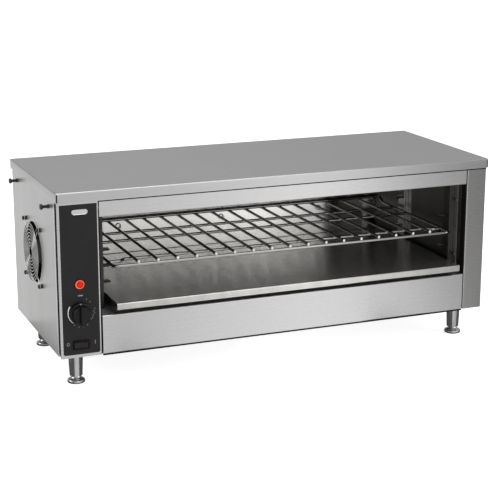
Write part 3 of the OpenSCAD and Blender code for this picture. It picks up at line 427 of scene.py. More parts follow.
def buildStudio():
    s = studio
    scene = bpy.context.scene
    scene.view_settings.view_transform = "Standard"
    world = bpy.data.worlds.new("studio")
    world.use_nodes = True
    setSockets(world.node_tree.nodes["Background"], {0: (1, 1, 1, 1), 1: s["skyLevel"]})
    scene.world = world
    half, quad = s["floorSize"] / 2, [(0, 1, 2, 3)]
    corners = [(-half, -half), (half, -half), (half, half), (-half, half)]
    paint = plainPaint("floorPaint", s["floorGrey"], s["floorGlow"], {"Roughness": 0.9})
    plainStage("floor", [(x, y, 0) for x, y in corners], quad, paint, "glossy", "transmission")

    # bounce cards, seen only in the polished metal: one on the floor, one standing in front
    metalOnly = ("camera", "diffuse", "shadow")
    lifted = [(x, y, s["cardLift"]) for x, y in corners]
    plainStage("bounceCard", lifted, quad, cardPaint("bounceGlow", s["cardGlow"]), *metalOnly)
    away, left, right, bottom, top = s["frontPlace"]
    c, sn = onCircle(0, 0, 1, s["cardTurn"])
    corners = [
        (away * sn + side * c, -away * c + side * sn, z)
        for side, z in ((left, bottom), (right, bottom), (right, top), (left, top))]
    plainStage("frontCard", corners, quad, cardPaint("frontGlow", s["frontGlow"]), *metalOnly)

    # the worktop is darker under the body and round the legs
    x0, y0, x1, y1, z = s["patchUnder"]
    verts = [(x0, y0, z), (x1, y0, z), (x1, y1, z), (x0, y1, z)]
    faces = [*quad]
    *radii, z = s["patchRound"]
    for name in ("foot_front_left", "foot_front_right"):
        low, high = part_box(name)
        middle = (low + high) / 2
        for first, last in s["patchAngles"]:
            base = len(verts)
            for k in range(9):
                a = math.radians(first + (last - first) * k / 8)
                for r in radii:
                    verts.append((middle.x + r * math.sin(a), middle.y - r * math.cos(a), z))
            faces += [(i, i + 1, i + 3, i + 2) for i in range(base, base + 16, 2)]
    paint = plainPaint("patchShade", s["patchGrey"], s["patchGlow"], {"Roughness": 1})
    plainStage("worktopShade", verts, faces, paint, *metalOnly)

    # a pale dome stands far behind, for the camera only
    paint = plainPaint("domePaper", 0, s["domeGlow"], {"Specular IOR Level": 0})
    rings = []
    for i in range(9):
        reach, height = onCircle(0, 0, s["domeRadius"], s["domeLow"] + s["domeStep"] * i)
        rings.append([(x, y, height) for x, y in arcPoints(0, 0, reach, 0, 15, 24)])
    verts, faces = addLoft(newShape(), rings, caps=False)
    plainStage("dome", verts, faces, paint, "diffuse", "glossy", "transmission", "shadow")

    for name, where, size, watts in s["lights"]:
        data = bpy.data.lights.new(name, "AREA")
        data.shape = "DISK"
        data.size = size
        data.energy = watts
        lamp = addObject(name, data)
        lamp.location = where
        lamp.rotation_euler = (Vector(s["lightAim"]) - Vector(where)).to_track_quat("-Z", "Y").to_euler()
        hideFrom(lamp, "camera")


buildStudio()
print("studio: floor, cards, patch, dome, %d lamps" % len(studio["lights"]))


# finishes
def noiseField(tree, stretch, detail, roughness):
    values = {"Scale": 1, "Detail": detail, "Roughness": roughness}
    return addNode(tree, "TexNoise", values, {"Vector": mappedPlace(tree, {"Scale": stretch})}).outputs["Fac"]


def spread(tree, field, low, high):
    # noise lies mostly between 0.3 and 0.7
    values = {"From Min": 0.3, "From Max": 0.7, "To Min": low, "To Max": high}
    return addNode(tree, "MapRange", values, {"Value": field}).outputs["Result"]


def average(tree, a, b, share=0.5):
    return addNode(tree, "Mix", {"Factor": share}, {2: a, 3: b}, "FLOAT").outputs[0]


def dress(tree, shader, colour, change, toneField, rough, roughField, bump, bumpField, depth=0.0002):
    # colour, roughness and relief, each from a field of its own
    dark = [c * (1 - change) for c in colour]
    light = [min(1, c * (1 + change)) for c in colour]
    tones = {6: (*dark, 1), 7: (*light, 1)}
    tint = addNode(tree, "Mix", tones, {"Factor": spread(tree, toneField, 0, 1)}, "RGBA")
    relief = addNode(tree, "Bump", {"Strength": bump, "Distance": depth}, {"Height": bumpField})
    linkSockets(tree, shader, {
        "Base Color": tint.outputs[2],
        "Roughness": spread(tree, roughField, *rough),
        "Normal": relief.outputs["Normal"]})


def brushedMetal(name, grain, colour, rough, change=0.06, bump=0.06, anisotropy=0.8, bands=None):
    mat, tree, shader = startMaterial(name)
    axis = {"x": (1, 0, 0), "y": (0, 1, 0), "z": (0, 0, 1)}[grain]
    fine = noiseField(tree, [9 if a else 1500 for a in axis], 4, 0.6)
    streak = noiseField(tree, [2.2 if a else 620 for a in axis], 3, 0.6)
    lines = average(tree, fine, streak, 0.45)
    field = average(tree, lines, noiseField(tree, (5, 5, 5), 2, 0.5), 0.3)
    if bands:  # soft bands across the grain
        field = average(tree, field, noiseField(tree, bands, 3, 0.55), 0.75)
    dress(tree, shader, colour, change, field, rough, lines, bump, lines)
    setSockets(shader, {"Metallic": 1, "Anisotropic": anisotropy, "Anisotropic Rotation": 0.25})
    along = addNode(tree, "CombineXYZ", enumerate(axis))
    linkSockets(tree, shader, {"Tangent": along.outputs[0]})
    return mat


def smoothMetal(name, colour, rough, change=0.05, bump=0.03, metallic=1, cloud=60, specks=900):
    mat, tree, shader = startMaterial(name)
    cloud = noiseField(tree, (cloud,) * 3, 4, 0.55)
    specks = noiseField(tree, (specks,) * 3, 2, 0.6)
    dress(tree, shader, colour, change, cloud, rough, average(tree, cloud, specks), bump, specks)
    setSockets(shader, {"Metallic": metallic})
    return mat


def mouldedPlastic(name, colour, rough, change=0.12, bump=0.12, skin=1400, specular=0.5, glowColour=(0, 0, 0), glow=0):
    mat, tree, shader = startMaterial(name)
    skin = noiseField(tree, (skin,) * 3, 3, 0.6)
    cloud = noiseField(tree, (45, 45, 45), 3, 0.5)
    dress(tree, shader, colour, change, cloud, rough, average(tree, skin, cloud), bump, skin, 0.0003)
    setSockets(shader, {"Specular IOR Level": specular, "Emission Color": (*glowColour, 1), "Emission Strength": glow})
    return mat


# a steel's grain, then its colour, roughness from and to, and what differs from the usual
steelLooks = {
    "coverSteel": ("x", (0.575, 0.575, 0.58), (0.26, 0.34), {"change": 0.03, "bump": 0.03}),
    "frontSteel": ("x", (0.65, 0.65, 0.655), (0.25, 0.31), {"change": 0.03, "bump": 0.02}),
    # painted shade: the right side panel and post get a darker copy of the same sheet steel
    "postSteel": ("x", (0.45, 0.445, 0.44), (0.26, 0.28), {"change": 0.01, "bump": 0.006}),
    "sideSteel": ("z", (0.64, 0.64, 0.635), (0.26, 0.36), {"change": 0.05, "bands": (3, 26, 1.6), "bump": 0.05}),
    # painted highlight: a near-white steel for a strip on the left panel's front edge
    "edgeSteel": ("z", (0.96, 0.96, 0.95), (0.26, 0.36), {"change": 0.02, "bump": 0.02}),
    "columnSteel": ("x", (0.66, 0.66, 0.665), (0.22, 0.3), {"change": 0.04}),
    "backSteel": ("x", (0.60, 0.60, 0.605), (0.28, 0.38), {}),
    "traySteel": ("x", (0.66, 0.65, 0.63), (0.2, 0.27), {"change": 0.1, "bands": (34, 0.8, 0.8), "bump": 0.02}),
    "mirrorSteel": (
        "x", (0.78, 0.775, 0.765), (0.08, 0.14),
        {"anisotropy": 0.7, "change": 0.07, "bands": (16, 1, 2.0), "bump": 0.03}),
    "linerSteel": ("y", (0.13, 0.126, 0.12), (0.34, 0.46), {"change": 0.14}),
    # painted shade: near-black steel for the left liner and the left channels
    "darkSteel": ("z", (0.07, 0.068, 0.066), (0.36, 0.5), {"change": 0.15}),
    "floorSteel": ("x", (0.30, 0.30, 0.30), (0.34, 0.46), {"change": 0.1}),
    # painted shade: the cavity's ceiling and the element brackets are made near black
    "reflectorSteel": ("x", (0.055, 0.053, 0.05), (0.4, 0.55), {"change": 0.15}),
    # painted shade: the right front channel's face
    "hatSteel": ("z", (0.075, 0.073, 0.07), (0.3, 0.42), {"change": 0.14}),
    # painted light: the right front channel's wings are a lit copy
    "brightWing": ("z", (0.70, 0.69, 0.67), (0.16, 0.24), {"change": 0.08}),
    "channelSteel": ("z", (0.44, 0.435, 0.43), (0.18, 0.28), {}),
}
smoothLooks = {
    # painted highlight: near-white caps on the rack wires' front ends
    "wireEnd": ((0.95, 0.95, 0.94), (0.3, 0.45), {}),
    # painted shade: near-black rings round the upper hooks
    "hookDark": ((0.035, 0.034, 0.033), (0.2, 0.35), {}),
    "rackChrome": ((0.40, 0.395, 0.385), (0.04, 0.09), {}),
    "guardChrome": ((0.5, 0.497, 0.49), (0.12, 0.22), {}),
    "legSteel": ((0.62, 0.62, 0.625), (0.13, 0.22), {}),
    "screwSteel": ((0.60, 0.60, 0.59), (0.2, 0.34), {}),
    "screwDark": ((0.16, 0.16, 0.16), (0.3, 0.45), {}),
    "zincSteel": ((0.50, 0.52, 0.53), (0.35, 0.5), {"cloud": 90, "change": 0.16}),
    "badgeSilver": ((0.78, 0.78, 0.79), (0.22, 0.32), {"specks": 1600}),
    "badgeRim": ((0.86, 0.86, 0.87), (0.08, 0.14), {}),
    "elementSheath": ((0.10, 0.085, 0.075), (0.45, 0.65), {"metallic": 0.6, "change": 0.3, "bump": 0.2}),
    "nickel": ((0.66, 0.65, 0.62), (0.14, 0.24), {}),
    "brass": ((0.70, 0.50, 0.20), (0.2, 0.34), {}),
    "screwBlack": ((0.03, 0.03, 0.03), (0.3, 0.42), {"metallic": 0.3}),
}
plasticLooks = {
    "overlayFilm": ((0.0115, 0.0105, 0.011), (0.38, 0.46), {"skin": 2600, "bump": 0.05, "specular": 0.26}),
    "knobBlack": ((0.004, 0.004, 0.0042), (0.26, 0.36), {"bump": 0.1, "specular": 0.3}),
    "switchBlack": ((0.0025, 0.002, 0.0022), (0.2, 0.28), {"bump": 0.03, "specular": 0.16}),
    "paddleBlack": ((0.012, 0.0065, 0.0075), (0.14, 0.22), {"bump": 0.03, "specular": 0.36}),
    "fanBlack": ((0.006, 0.006, 0.0065), (0.42, 0.55), {"specular": 0.12}),
    "printWhite": ((0.80, 0.80, 0.80), (0.4, 0.5), {"bump": 0.03, "change": 0.05}),
    "printGrey": ((0.26, 0.26, 0.265), (0.4, 0.5), {"bump": 0.03, "change": 0.08}),
    "lensRed": (
        (0.42, 0.008, 0.003), (0.08, 0.16),
        {"bump": 0.02, "specular": 0.12, "glowColour": (1.0, 0.035, 0.012), "glow": 0.26}),
    "lensRim": (
        (0.72, 0.17, 0.10), (0.12, 0.22),
        {"bump": 0.02, "specular": 0.3, "glowColour": (1.0, 0.20, 0.10), "glow": 0.22}),
    # painted light: the bezel is tinted and glows faintly red, as if lit by the lens
    "bezelDark": (
        (0.05, 0.004, 0.003), (0.2, 0.3),
        {"bump": 0.03, "specular": 0.2, "glowColour": (1.0, 0.06, 0.03), "glow": 0.02}),
    "ceramic": ((0.74, 0.70, 0.62), (0.18, 0.3), {"change": 0.06}),
    "woolMat": ((0.035, 0.032, 0.028), (0.85, 0.95), {"skin": 420, "bump": 0.8, "change": 0.25}),
    "caseBrown": ((0.03, 0.025, 0.02), (0.4, 0.55), {}),
    # painted shade: black for the dark strips in the gaps and for the column's return
    "sealBlack": ((0.006, 0.006, 0.006), (0.6, 0.75), {"specular": 0.1}),
    "leadRed": ((0.36, 0.03, 0.02), (0.45, 0.6), {}),
}
finishes = {}
for make, looks in ((brushedMetal, steelLooks), (smoothMetal, smoothLooks), (mouldedPlastic, plasticLooks)):
    for name, (*values, others) in looks.items():
        finishes[name] = make(name, *values, **others)
print("finishes: %d" % len(finishes))

# top cover: a pan with rolled edges and open corner slots
cover = {
    "low": (-426.5, -166.2, 280.0), "high": (427.6, 174.0, 298.0), "sheet": 1.2, "bend": 2.3, "corner": 1.6,
    "slot": 2.4, "screwX": (-382.5, -127.5, 127.5, 382.5), "screwZ": 289.0, "screwHole": 3.6,
}


def buildCover():
    (x0, y0, z0), (x1, y1, z1) = cover["low"], cover["high"]
    t, bend, gap = cover["sheet"], cover["bend"], cover["slot"]

    def ring(inset, z):
        corner = max(0.3, cover["corner"] - inset * 0.5)
        return [(x, y, z) for x, y in roundedRect(x0 + inset, y0 + inset, x1 - inset, y1 - inset, corner)]

    def pan(inset, radius):
        rings = [ring(inset, z0)]
        for k in range(6):
            a = math.radians(18 * k)
            rings.append(ring(bend - radius * math.cos(a), z1 - bend + radius * math.sin(a)))
        return rings

    shell = addLoft(newShape(), pan(t, bend - t)[::-1] + pan(0, bend))
    cutters = []
    for x in (x0 + t, x1 - t - gap):
        for y in (y0 - 1, y1 - t - 0.2):
            high = (x + gap, y + t + 1.2, z1 - bend - 0.4)
            cutters.append(addPlate(newShape(), (x, y, z0 - 1), high, 0.1))
    for x in cover["screwX"]:
        cutters.append(holeShape(cover["screwHole"], 3, (x, y1 - t / 2, cover["screwZ"]), "y"))
    makePiece("coverPan", cutShape(shell, cutters), "coverSteel", "cover_steel", "top_cover", sharp=28)


buildCover()
print("cover")

# side panels
sides = {
    "sheet": 1.2, "outer": 425.0, "front": -149.0, "back": 162.8, "top": 296.8, "flange": 14.0, "tabFront": -144.0,
    "postLeft": 383.6, "postFront": -164.0, "postBack": -150.0,
    # the painted highlight strip on the left panel's front edge stands here
    "highlightEdge": ((-425.12, -149.15, 0.4), (-423.9, -144.8, 279.6)),
}
fanPlace = {"y": 9.0, "z": 154.0, "hole": 113.0, "corner": 52.5, "screwHole": 4.6}
pinPlace = {"y": (-112, 124), "z": 265.0, "hole": 5.7}


def fanCorners():
    y, z, corner = fanPlace["y"], fanPlace["z"], fanPlace["corner"]
    return [(y + dy * corner, z + dz * corner) for dy in (-1, 1) for dz in (-1, 1)]


def buildSidePanels():
    s = sides
    inner = s["outer"] - s["sheet"]
    flange = inner - s["flange"]
    path = ((s["outer"], s["front"]), (s["outer"], s["back"]), (flange, s["back"]))
    left = addPrism(newShape(), foldedOutline(path, s["sheet"]), lambda u, v, w: (-u, v, w), 0, s["top"])
    holes = [(fanPlace["hole"], fanPlace["y"], fanPlace["z"], 96)]
    holes += [(fanPlace["screwHole"], y, z, 20) for y, z in fanCorners()]
    holes += [(pinPlace["hole"], y, pinPlace["z"], 20) for y in pinPlace["y"]]
    left = cutShape(left, [holeShape(width, 4, (-s["outer"], y, z), "x", count) for width, y, z, count in holes])
    # a near-white strip on the left panel's front edge: painted highlight
    makePiece("leftPanelHighlight", addPlate(newShape(), *s["highlightEdge"], 0.1), "edgeSteel", "body_steel")
    path = (
        (s["postLeft"], s["postBack"]), (s["postLeft"], s["postFront"]), (s["outer"], s["postFront"]),
        (s["outer"], s["back"]), (flange, s["back"]))
    right = addPrism(newShape(), foldedOutline(path, s["sheet"]), inPlan, 0, s["top"])
    for shape, sign in ((left, -1), (right, 1)):
        for z in (0, s["top"] - s["sheet"]):
            a, b = sorted((sign * flange, sign * inner))
            addPlate(shape, (a, s["tabFront"], z), (b, s["back"] - s["sheet"], z + s["sheet"]))
    makePiece("leftSidePanel", left, "sideSteel", "body_steel", "left_side_panel", sharp=28)
    # the right panel and post wear the darker steel: painted shade
    makePiece("rightSidePanel", right, "postSteel", "body_steel", "right_side_panel", edge=0.15, sharp=28)


buildSidePanels()

# front panels and control column
front = {
    "y": -164.0, "back": -150.0, "sheet": 1.2, "left": -347.8, "valanceLeft": -349.3, "right": 381.6,
    "lowerTop": 71.5, "valanceLow": 250.0, "valanceHem": 262.0, "top": 296.8,
}
column = {"left": -425.0, "right": -350.3, "nose": 1.2, "lip": 15.5, "returnX": -420.8, "returnBack": -129.0}


def buildFrontPanels():
    f, c = front, column
    y, back, t, top = f["y"], f["back"], f["sheet"], f["top"]
    path = ((back, f["lowerTop"]), (y, f["lowerTop"]), (y, 0), (back, 0))
    lower = addPrism(newShape(), foldedOutline(path, t), inSection, f["left"], f["right"])
    makePiece("lowerFrontPanel", lower, "frontSteel", "body_steel", "front_lower_panel", edge=0.12)
    path = ((back, top), (y, top), (y, f["valanceLow"]), (back, f["valanceLow"]), (back, f["valanceHem"]))
    valance = addPrism(newShape(), foldedOutline(path, t), inSection, f["valanceLeft"], f["right"])
    makePiece("valance", valance, "frontSteel", "body_steel", "front_valance", edge=0.12)
    nose = c["left"] + c["nose"]
    path = ((nose, y), (c["right"], y), (c["right"], back))
    panel = addPrism(newShape(), foldedOutline(path, t), inPlan, 0, top)
    addPrism(panel, arcPoints(nose, y + c["nose"], c["nose"], 90, 15, 13), inPlan, 0, top)
    addPlate(panel, (c["left"] + c["lip"], y + t, 0), (c["right"] - t, back, t))
    makePiece("columnPanel", panel, "columnSteel", "body_steel", "control_panel", edge=0.12)
    # the column's return is made black: painted shade in the gap behind the column's nose
    path = ((c["returnX"], c["returnBack"]), (c["returnX"], y + 2 * t), (nose + 1.4, y + 2 * t))
    turned = addPrism(newShape(), foldedOutline(path, t, 0.3), inPlan, 2.4, top - 1.2)
    makePiece("columnReturn", turned, "sealBlack", "body_steel")
    # black strips of painted shade: in the seams and gaps, along the lower edge and behind the corner slot
    shadeStrips = newShape()
    for low, high in (
            ((f["valanceLeft"], -165.0, 277.8), (424.2, -164.1, 281.5)),  # under the cover's lip
            ((f["right"] + 0.2, -162.8, 0.4), (383.4, back, 296.4)),  # beside the post
            ((c["right"] + 0.1, -162.6, 0.4), (c["right"] + 0.9, back, 71.0)),  # beside the column, in three
            ((c["right"] + 0.1, -162.6, 71.0), (c["right"] + 1.6, back, 250.0)),
            ((c["right"] + 0.1, -162.6, 250.0), (c["right"] + 0.9, back, 296.4)),
            ((f["left"], -163.2, -2.5), (f["right"], -160.4, -0.05)),  # along the lower edge
            ((-424.8, -164.95, 281.0), (-421.0, -164.1, 295.4))):  # behind the corner slot
        addPlate(shadeStrips, low, high, 0.1)
    makePiece("edgeShadeStrips", shadeStrips, "sealBlack", "switch_black")


buildFrontPanels()
print("panels")

# plaque: plain, with a raised rim
plaque = {"x": -384.4, "z": 262.6, "width": 29.0, "height": 9.5, "back": -164.4, "thick": 0.8, "rim": 0.9}


def buildPlaque():
    p = plaque
    rim, y0, y1 = p["rim"], p["back"], p["back"] - p["thick"]

    def pill(inset, y):
        w, h = p["width"] / 2 - inset, p["height"] / 2 - inset
        return frontRing(p["x"], p["z"], w, h, h - 0.01, 8, y)

    field = [pill(rim, y0), pill(rim, y1 + 0.32), pill(rim + 0.5, y1 + 0.3)]
    edge = [pill(rim, y0), pill(0, y0), pill(0, y1 + 0.35), pill(0.25, y1), pill(rim - 0.3, y1), pill(rim, y1 + 0.3)]
    makePiece("plaqueField", addLoft(newShape(), field), "badgeSilver", "badge_silver", "badge_plate")
    makePiece("plaqueRim", addLoft(newShape(), edge, closed=True), "badgeRim", "badge_silver")


buildPlaque()

# black overlay, with round holes for the pilot light and the knob and a window for the switch
overlay = {
    "low": (-420.3, 5.5), "high": (-353.4, 276.2), "back": -164.0, "thick": 0.4, "corner": 4.0, "topCorner": 0.6,
    "holes": ((-387.9, 133.7, 12.8), (-387.9, 80.5, 9.8)), "window": (-401.5, 16.15, -374.3, 29.85),
}


def buildOverlay():
    o = overlay
    (x0, z0), (x1, z1) = o["low"], o["high"]
    y0, y1 = o["back"], o["back"] - o["thick"]

    def ring(inset, y):
        r, q = o["corner"] - inset, o["topCorner"]
        corners = (
            (x1 - inset - r, z0 + inset + r, r, -90), (x1 - inset - q, z1 - inset - q, q, 0),
            (x0 + inset + q, z1 - inset - q, q, 90), (x0 + inset + r, z0 + inset + r, r, 180))
        return [(u, y, v) for cu, cv, radius, start in corners for u, v in arcPoints(cu, cv, radius, start, 15, 7)]

    film = addLoft(newShape(), [ring(0, y0), ring(0, y1 + 0.12), ring(0.12, y1)])
    cutters = [holeShape(width, 2, (x, y0, z), "y", 32) for x, z, width in o["holes"]]
    xa, za, xb, zb = o["window"]
    cutters.append(addPlate(newShape(), (xa, y0 - 2, za), (xb, y0 + 2, zb), 0.01))
    makePiece("overlaySheet", cutShape(film, cutters), "overlayFilm", "overlay_film", "control_overlay")


buildOverlay()

# printing on the overlay
printing = {
    "y": -164.4,
    "lift": 0.05,
    "knob": (-387.9, 80.5),
    "arc": (142, 232, 23.4, 20.9, 2.2, 0.7),  # from and to: degrees, radii, widths
    "marks": (  # degrees, radius
        (65, 27.4), (48, 26.3), (14, 26.9), (5, 24.4), (-4, 25.4), (-13, 23.4),
        (-23, 23.6), (-32, 23.0), (-60, 24.9), (-79, 25.2), (-98, 24.6), (-119, 23.4)),
    "markSize": 1.5,
    "dash": (-391.3, 112.0, -382.7, 114.2),
    "ring": (-411.6, 26.0, 2.8, 0.42),  # place, radius, half width
    "bar": (-362.9, 22.0, -361.9, 29.0),
}


def buildPrinting():
    p = printing
    x, z = p["knob"]
    y0, y1 = p["y"] + 0.02, p["y"] - p["lift"]
    a0, a1, r0, r1, w0, w1 = p["arc"]
    outside, inside = [], []
    for k in range(25):
        f = k / 24
        degrees, r, w = a0 + (a1 - a0) * f, r0 + (r1 - r0) * f, (w0 + (w1 - w0) * f) / 2
        outside.append(onCircle(x, z, r + w, degrees))
        inside.append(onCircle(x, z, r - w, degrees))
    white = addPrism(newShape(), outside + inside[::-1], inFront, y0, y1)
    grey = newShape()
    s = p["markSize"] / 2
    for degrees, r in p["marks"]:
        u, v = onCircle(x, z, r, degrees)
        addPrism(grey, roundedRect(u - s, v - s, u + s, v + s, s * 0.6, 2), inFront, y0, y1)
    addPrism(grey, roundedRect(*p["dash"], 0.5, 3), inFront, y0, y1)
    u, v, r, w = p["ring"]
    profile = ((r, -0.02), (r, p["lift"]), (r - 2 * w, p["lift"]), (r - 2 * w, -0.02))
    addTurned(grey, profile, (u, p["y"], v), "-y", hollow=True)
    addPrism(grey, roundedRect(*p["bar"], 0.3, 2), inFront, y0, y1)
    makePiece("printWhite", white, "printWhite", "pointer_white")
    makePiece("printGrey", grey, "printGrey", "pointer_white")


buildPrinting()

# pilot light
pilot = {
    "place": (-387.9, -164.4, 133.7), "barrel": 6.3, "barrelEnd": 26.0, "bladeEnd": 33.0, "bezel": 9.5, "proud": 2.0,
    "lens": 8.0, "crown": 4.0, "ripple": 0.14, "beads": 18,
}


def buildPilot():
    p = pilot
    x, y, z = p["place"]
    b, h, r, crown, barrel = p["bezel"], p["proud"], p["lens"], p["crown"], p["barrel"]
    housing = addTurned(newShape(), (
        (barrel, -p["barrelEnd"]), (barrel, -1.25), (barrel, 0), (b, 0), (b, h - 0.8), (b - 0.25, h - 0.25),
        (b - 0.8, h), (8.3, h), (8.1, h - 0.3), (8.1, -0.3), (0, -0.3)), p["place"], "-y", 48)
    addBlades(housing, p["place"], (-3, 3), p["barrelEnd"], p["bladeEnd"])
    makePiece("pilotBezel", housing, "bezelDark", "switch_black", "pilot_housing")
    rim = addTurned(newShape(), (
        (r - 1.9, 0), (r, 0), (r, h + 0.1), (r - 0.2, h + 0.5), (r - 0.9, h + 0.9), (r - 1.6, h + 0.8),
        (r - 1.9, h + 0.4)), p["place"], "-y", 48, hollow=True)
    profile = [(r - 2, 0.2)]
    ball = (r * r + crown * crown) / (2 * crown)
    for k in range(17):
        f = 1 - k / 16
        s = (r - 2) * f
        ripple = p["ripple"] * math.cos(k * math.pi)  # pressed rings in the lens
        profile.append((s, h + 0.5 + crown - ball + math.sqrt(ball * ball - s * s) + ripple * f))
    dome = addTurned(newShape(), profile, p["place"], "-y", 48)
    for u, v in arcPoints(x, z, r - 1.2, 0, 360 / p["beads"], p["beads"]):
        addTurned(rim, ((0.75, -0.4), (0.75, 0), (0.6, 0.3), (0.3, 0.5), (0, 0.55)), (u, y - h - 0.7, v), "-y", 8)
    makePiece("pilotLensRim", rim, "lensRim", "lens_red")
    makePiece("pilotLens", dome, "lensRed", "lens_red", "pilot_lens")


buildPilot()

# knob
knob = {
    "place": (-387.9, -165.4, 80.5), "skirt": 20.5, "cone": 17.5, "top": 15.5, "dialHeight": 13.0,
    "height": 22.0, "gripWidth": 9.0, "gripLength": 35.8, "groove": (1.1, 8.5, 20.0, 0.6),  # half width, ends, depth
    "gripRings": (  # height, what the half width and half length gain
        (4.6, 0.9, 0.0), (5.6, 0.35, -0.1), (7, 0.1, -0.1), (13, 0, -0.15), (20.6, -0.35, -0.25),
        (21.5, -0.6, -0.35), (22, -1.2, -0.5)),
    "mark": (-2.4, 16.9, 0.8, 19.2),
}


def buildKnob():
    k = knob
    x, y, z = k["place"]
    skirt, cone, top, dial = k["skirt"], k["cone"], k["top"], k["dialHeight"]
    turned = addTurned(newShape(), (
        (9.5, 7.6), (9.5, 0.2), (skirt - 0.6, 0), (skirt, 0.6), (skirt, 3.4), (skirt - 0.35, 4.4), (skirt - 1.2, 5.0),
        (cone + 0.7, 5.1), (cone, 5.6), (top + 0.5, 12.0), (top - 0.1, dial - 0.2), (top - 1.2, dial), (3.1, dial),
        (3.1, 7.6)), k["place"], "-y", 96, hollow=True)
    rings = []
    for h, wider, longer in k["gripRings"]:
        rings.append(frontRing(x, z, k["gripWidth"] / 2 + wider, k["gripLength"] / 2 + longer, 2.2, 5, y - h))
    half, start, end, depth = k["groove"]
    crest = y - k["height"]
    slot = addPlate(newShape(), (x - half, crest - 1, z + start), (x + half, crest + depth, z + end), 0.01)
    shape = cutShape(addLoft(newShape(), rings), [slot])
    addCopy(shape, turned, inPlan)
    makePiece("dialKnob", shape, "knobBlack", "knob_black", "control_knob", body="knob", edge=0.1)
    u0, v0, u1, v1 = k["mark"]
    outline = roundedRect(x + u0, z + v0, x + u1, z + v1, 0.5, 3)
    mark = addPrism(newShape(), outline, inFront, y - 5.0, y - 5.25)
    makePiece("knobMark", mark, "printWhite", "pointer_white", "knob_pointer", body="knob")


buildKnob()

# rocker switch case
rocker = {
    "place": (-387.9, -164.4, 23.0), "box": (27.0, 13.5), "bezel": (31.0, 17.5), "hole": (24.0, 10.5), "proud": 2.0,
    "boxEnd": 24.0, "bladeEnd": 32.0,
}


def buildRocker():
    r = rocker
    x, y, z = r["place"]
    proud = r["proud"]
    rings = []
    for size, inset, h, corner in (
            ("box", 0, -r["boxEnd"], 0.6), ("box", 0, 0, 0.6), ("bezel", 0, 0, 1.6), ("bezel", 0, 0.9, 1.6),
            ("bezel", 0.5, 1.6, 1.4), ("bezel", 1.4, proud, 1.1), ("hole", -0.5, proud, 0.9), ("hole", 0, 1.5, 0.6),
            ("hole", 0, -12, 0.5)):
        width, height = r[size]
        rings.append(frontRing(x, z, width / 2 - inset, height / 2 - inset, corner, 5, y - h))
    case = addLoft(newShape(), rings)
    addBlades(case, r["place"], (-8, 0, 8), r["boxEnd"], r["bladeEnd"])
    makePiece("rockerCase", case, "switchBlack", "switch_black", "rocker_housing", sharp=40)


buildRocker()
print("controls")

# wire rack
rack = {
    "left": -319.3, "right": 359.7, "front": -146.0, "rear": 152.0, "rise": 136.0, "z": 153.5, "railZ": 164.5,
    "wire": 3.0, "thin": 2.8, "crossZ": 154.0, "crossY": (26.0, 86.0), "jogX": (20, 30), "jogY": (-114.0, -104.0),
    "bends": (10, 10, 9, 6, 6, 9), "jogBend": 6,
    "topZ": 159.0, "topY": (-147.5, 154.0), "middle": 20.2, "pitch": 36.8, "count": 17,
}


def buildRack():
    r = rack
    xa, xb, z, railZ, crossZ, topZ = (r[key] for key in ("left", "right", "z", "railZ", "crossZ", "topZ"))
    thin = r["thin"]
    loop = (
        (xa, r["front"], z), (xb, r["front"], z), (xb, r["rise"], z), (xb, r["rear"], railZ),
        (xa, r["rear"], railZ), (xa, r["rise"], z))
    frameWire = addTube(newShape(), bendPath(loop, r["bends"], 8), r["wire"], 20, closed=True)
    for y in r["crossY"]:
        addTube(frameWire, ((xa, y, crossZ), (xb, y, crossZ)), thin, 16)
    (near, far), (a, b) = r["jogY"], r["jogX"]
    jog = ((xa, near), (xa + a, near), (xa + b, far), (xb - b, far), (xb - a, near), (xb, near))
    addTube(frameWire, bendPath([(u, v, crossZ) for u, v in jog], (0, *[r["jogBend"]] * 4, 0), 4), thin, 16)
    makePiece("rackFrame", frameWire, "rackChrome", "rack_chrome", "rack_frame", body="rack", sharp=40)
    wires, ends = newShape(), newShape()
    tip = ((0, -1.5), (2.0, -1.5), (2.6, -1.1), (2.8, -0.5), (2.8, 0), (0, 0))
    bead = ((0.6, -1.3), (1.7, -0.9), (2.1, 0), (1.7, 0.9), (0.6, 1.3))
    start, end = r["topY"]
    for i in range(r["count"]):
        x = r["middle"] + (i - (r["count"] - 1) / 2) * r["pitch"]
        addTube(wires, ((x, start, topZ), (x, end, topZ)), thin, 18)
        addTurned(ends, tip, (x, start, topZ), "y", 18)
        for y in (r["front"], *r["crossY"], far):  # weld beads where the wires cross
            low = z if y == r["front"] else crossZ
            addTurned(wires, bead, (x, y, (low + topZ) / 2), "z", 10)
    makePiece("rackWires", wires, "rackChrome", "rack_chrome", "rack_wires", body="rack", sharp=40)
    # the wire ends are near white: painted highlight
    makePiece("rackWireEndGlints", ends, "wireEnd", "rack_chrome", body="rack", sharp=40)


buildRack()

# crumb tray
tray = {
    "left": -324.4, "right": 365.6, "front": -178.0, "rear": 155.0, "top": 94.5, "lip": 82.0, "hem": 4.0,
    "rearLow": 79.5, "floor": 71.5, "slope": 36.0, "sheet": 1.2,
}


def buildTray():
    t = tray
    near, rear, top, lip, floor, sheet = (t[key] for key in ("front", "rear", "top", "lip", "floor", "sheet"))
    path = ((rear, t["rearLow"]), (rear, top), (near, top), (near, lip), (near + t["hem"], lip))
    shape = addPrism(newShape(), foldedOutline(path, sheet), inSection, t["left"], t["right"])
    corners = (
        (near + 2, top - 0.4), (near + 0.9, lip + 1.5), (near + t["slope"], floor), (rear - 1, floor),
        (rear - 1, top - 0.4))
    for x in (t["left"], t["right"] - sheet):
        addPrism(shape, bendPath(corners, (0, 1.5, 6, 3, 0), 4), inSection, x + 0.02, x + sheet - 0.02)
    makePiece("crumbTray", shape, "traySteel", "tray_steel", "crumb_tray", body="tray", edge=0.15)


buildTray()

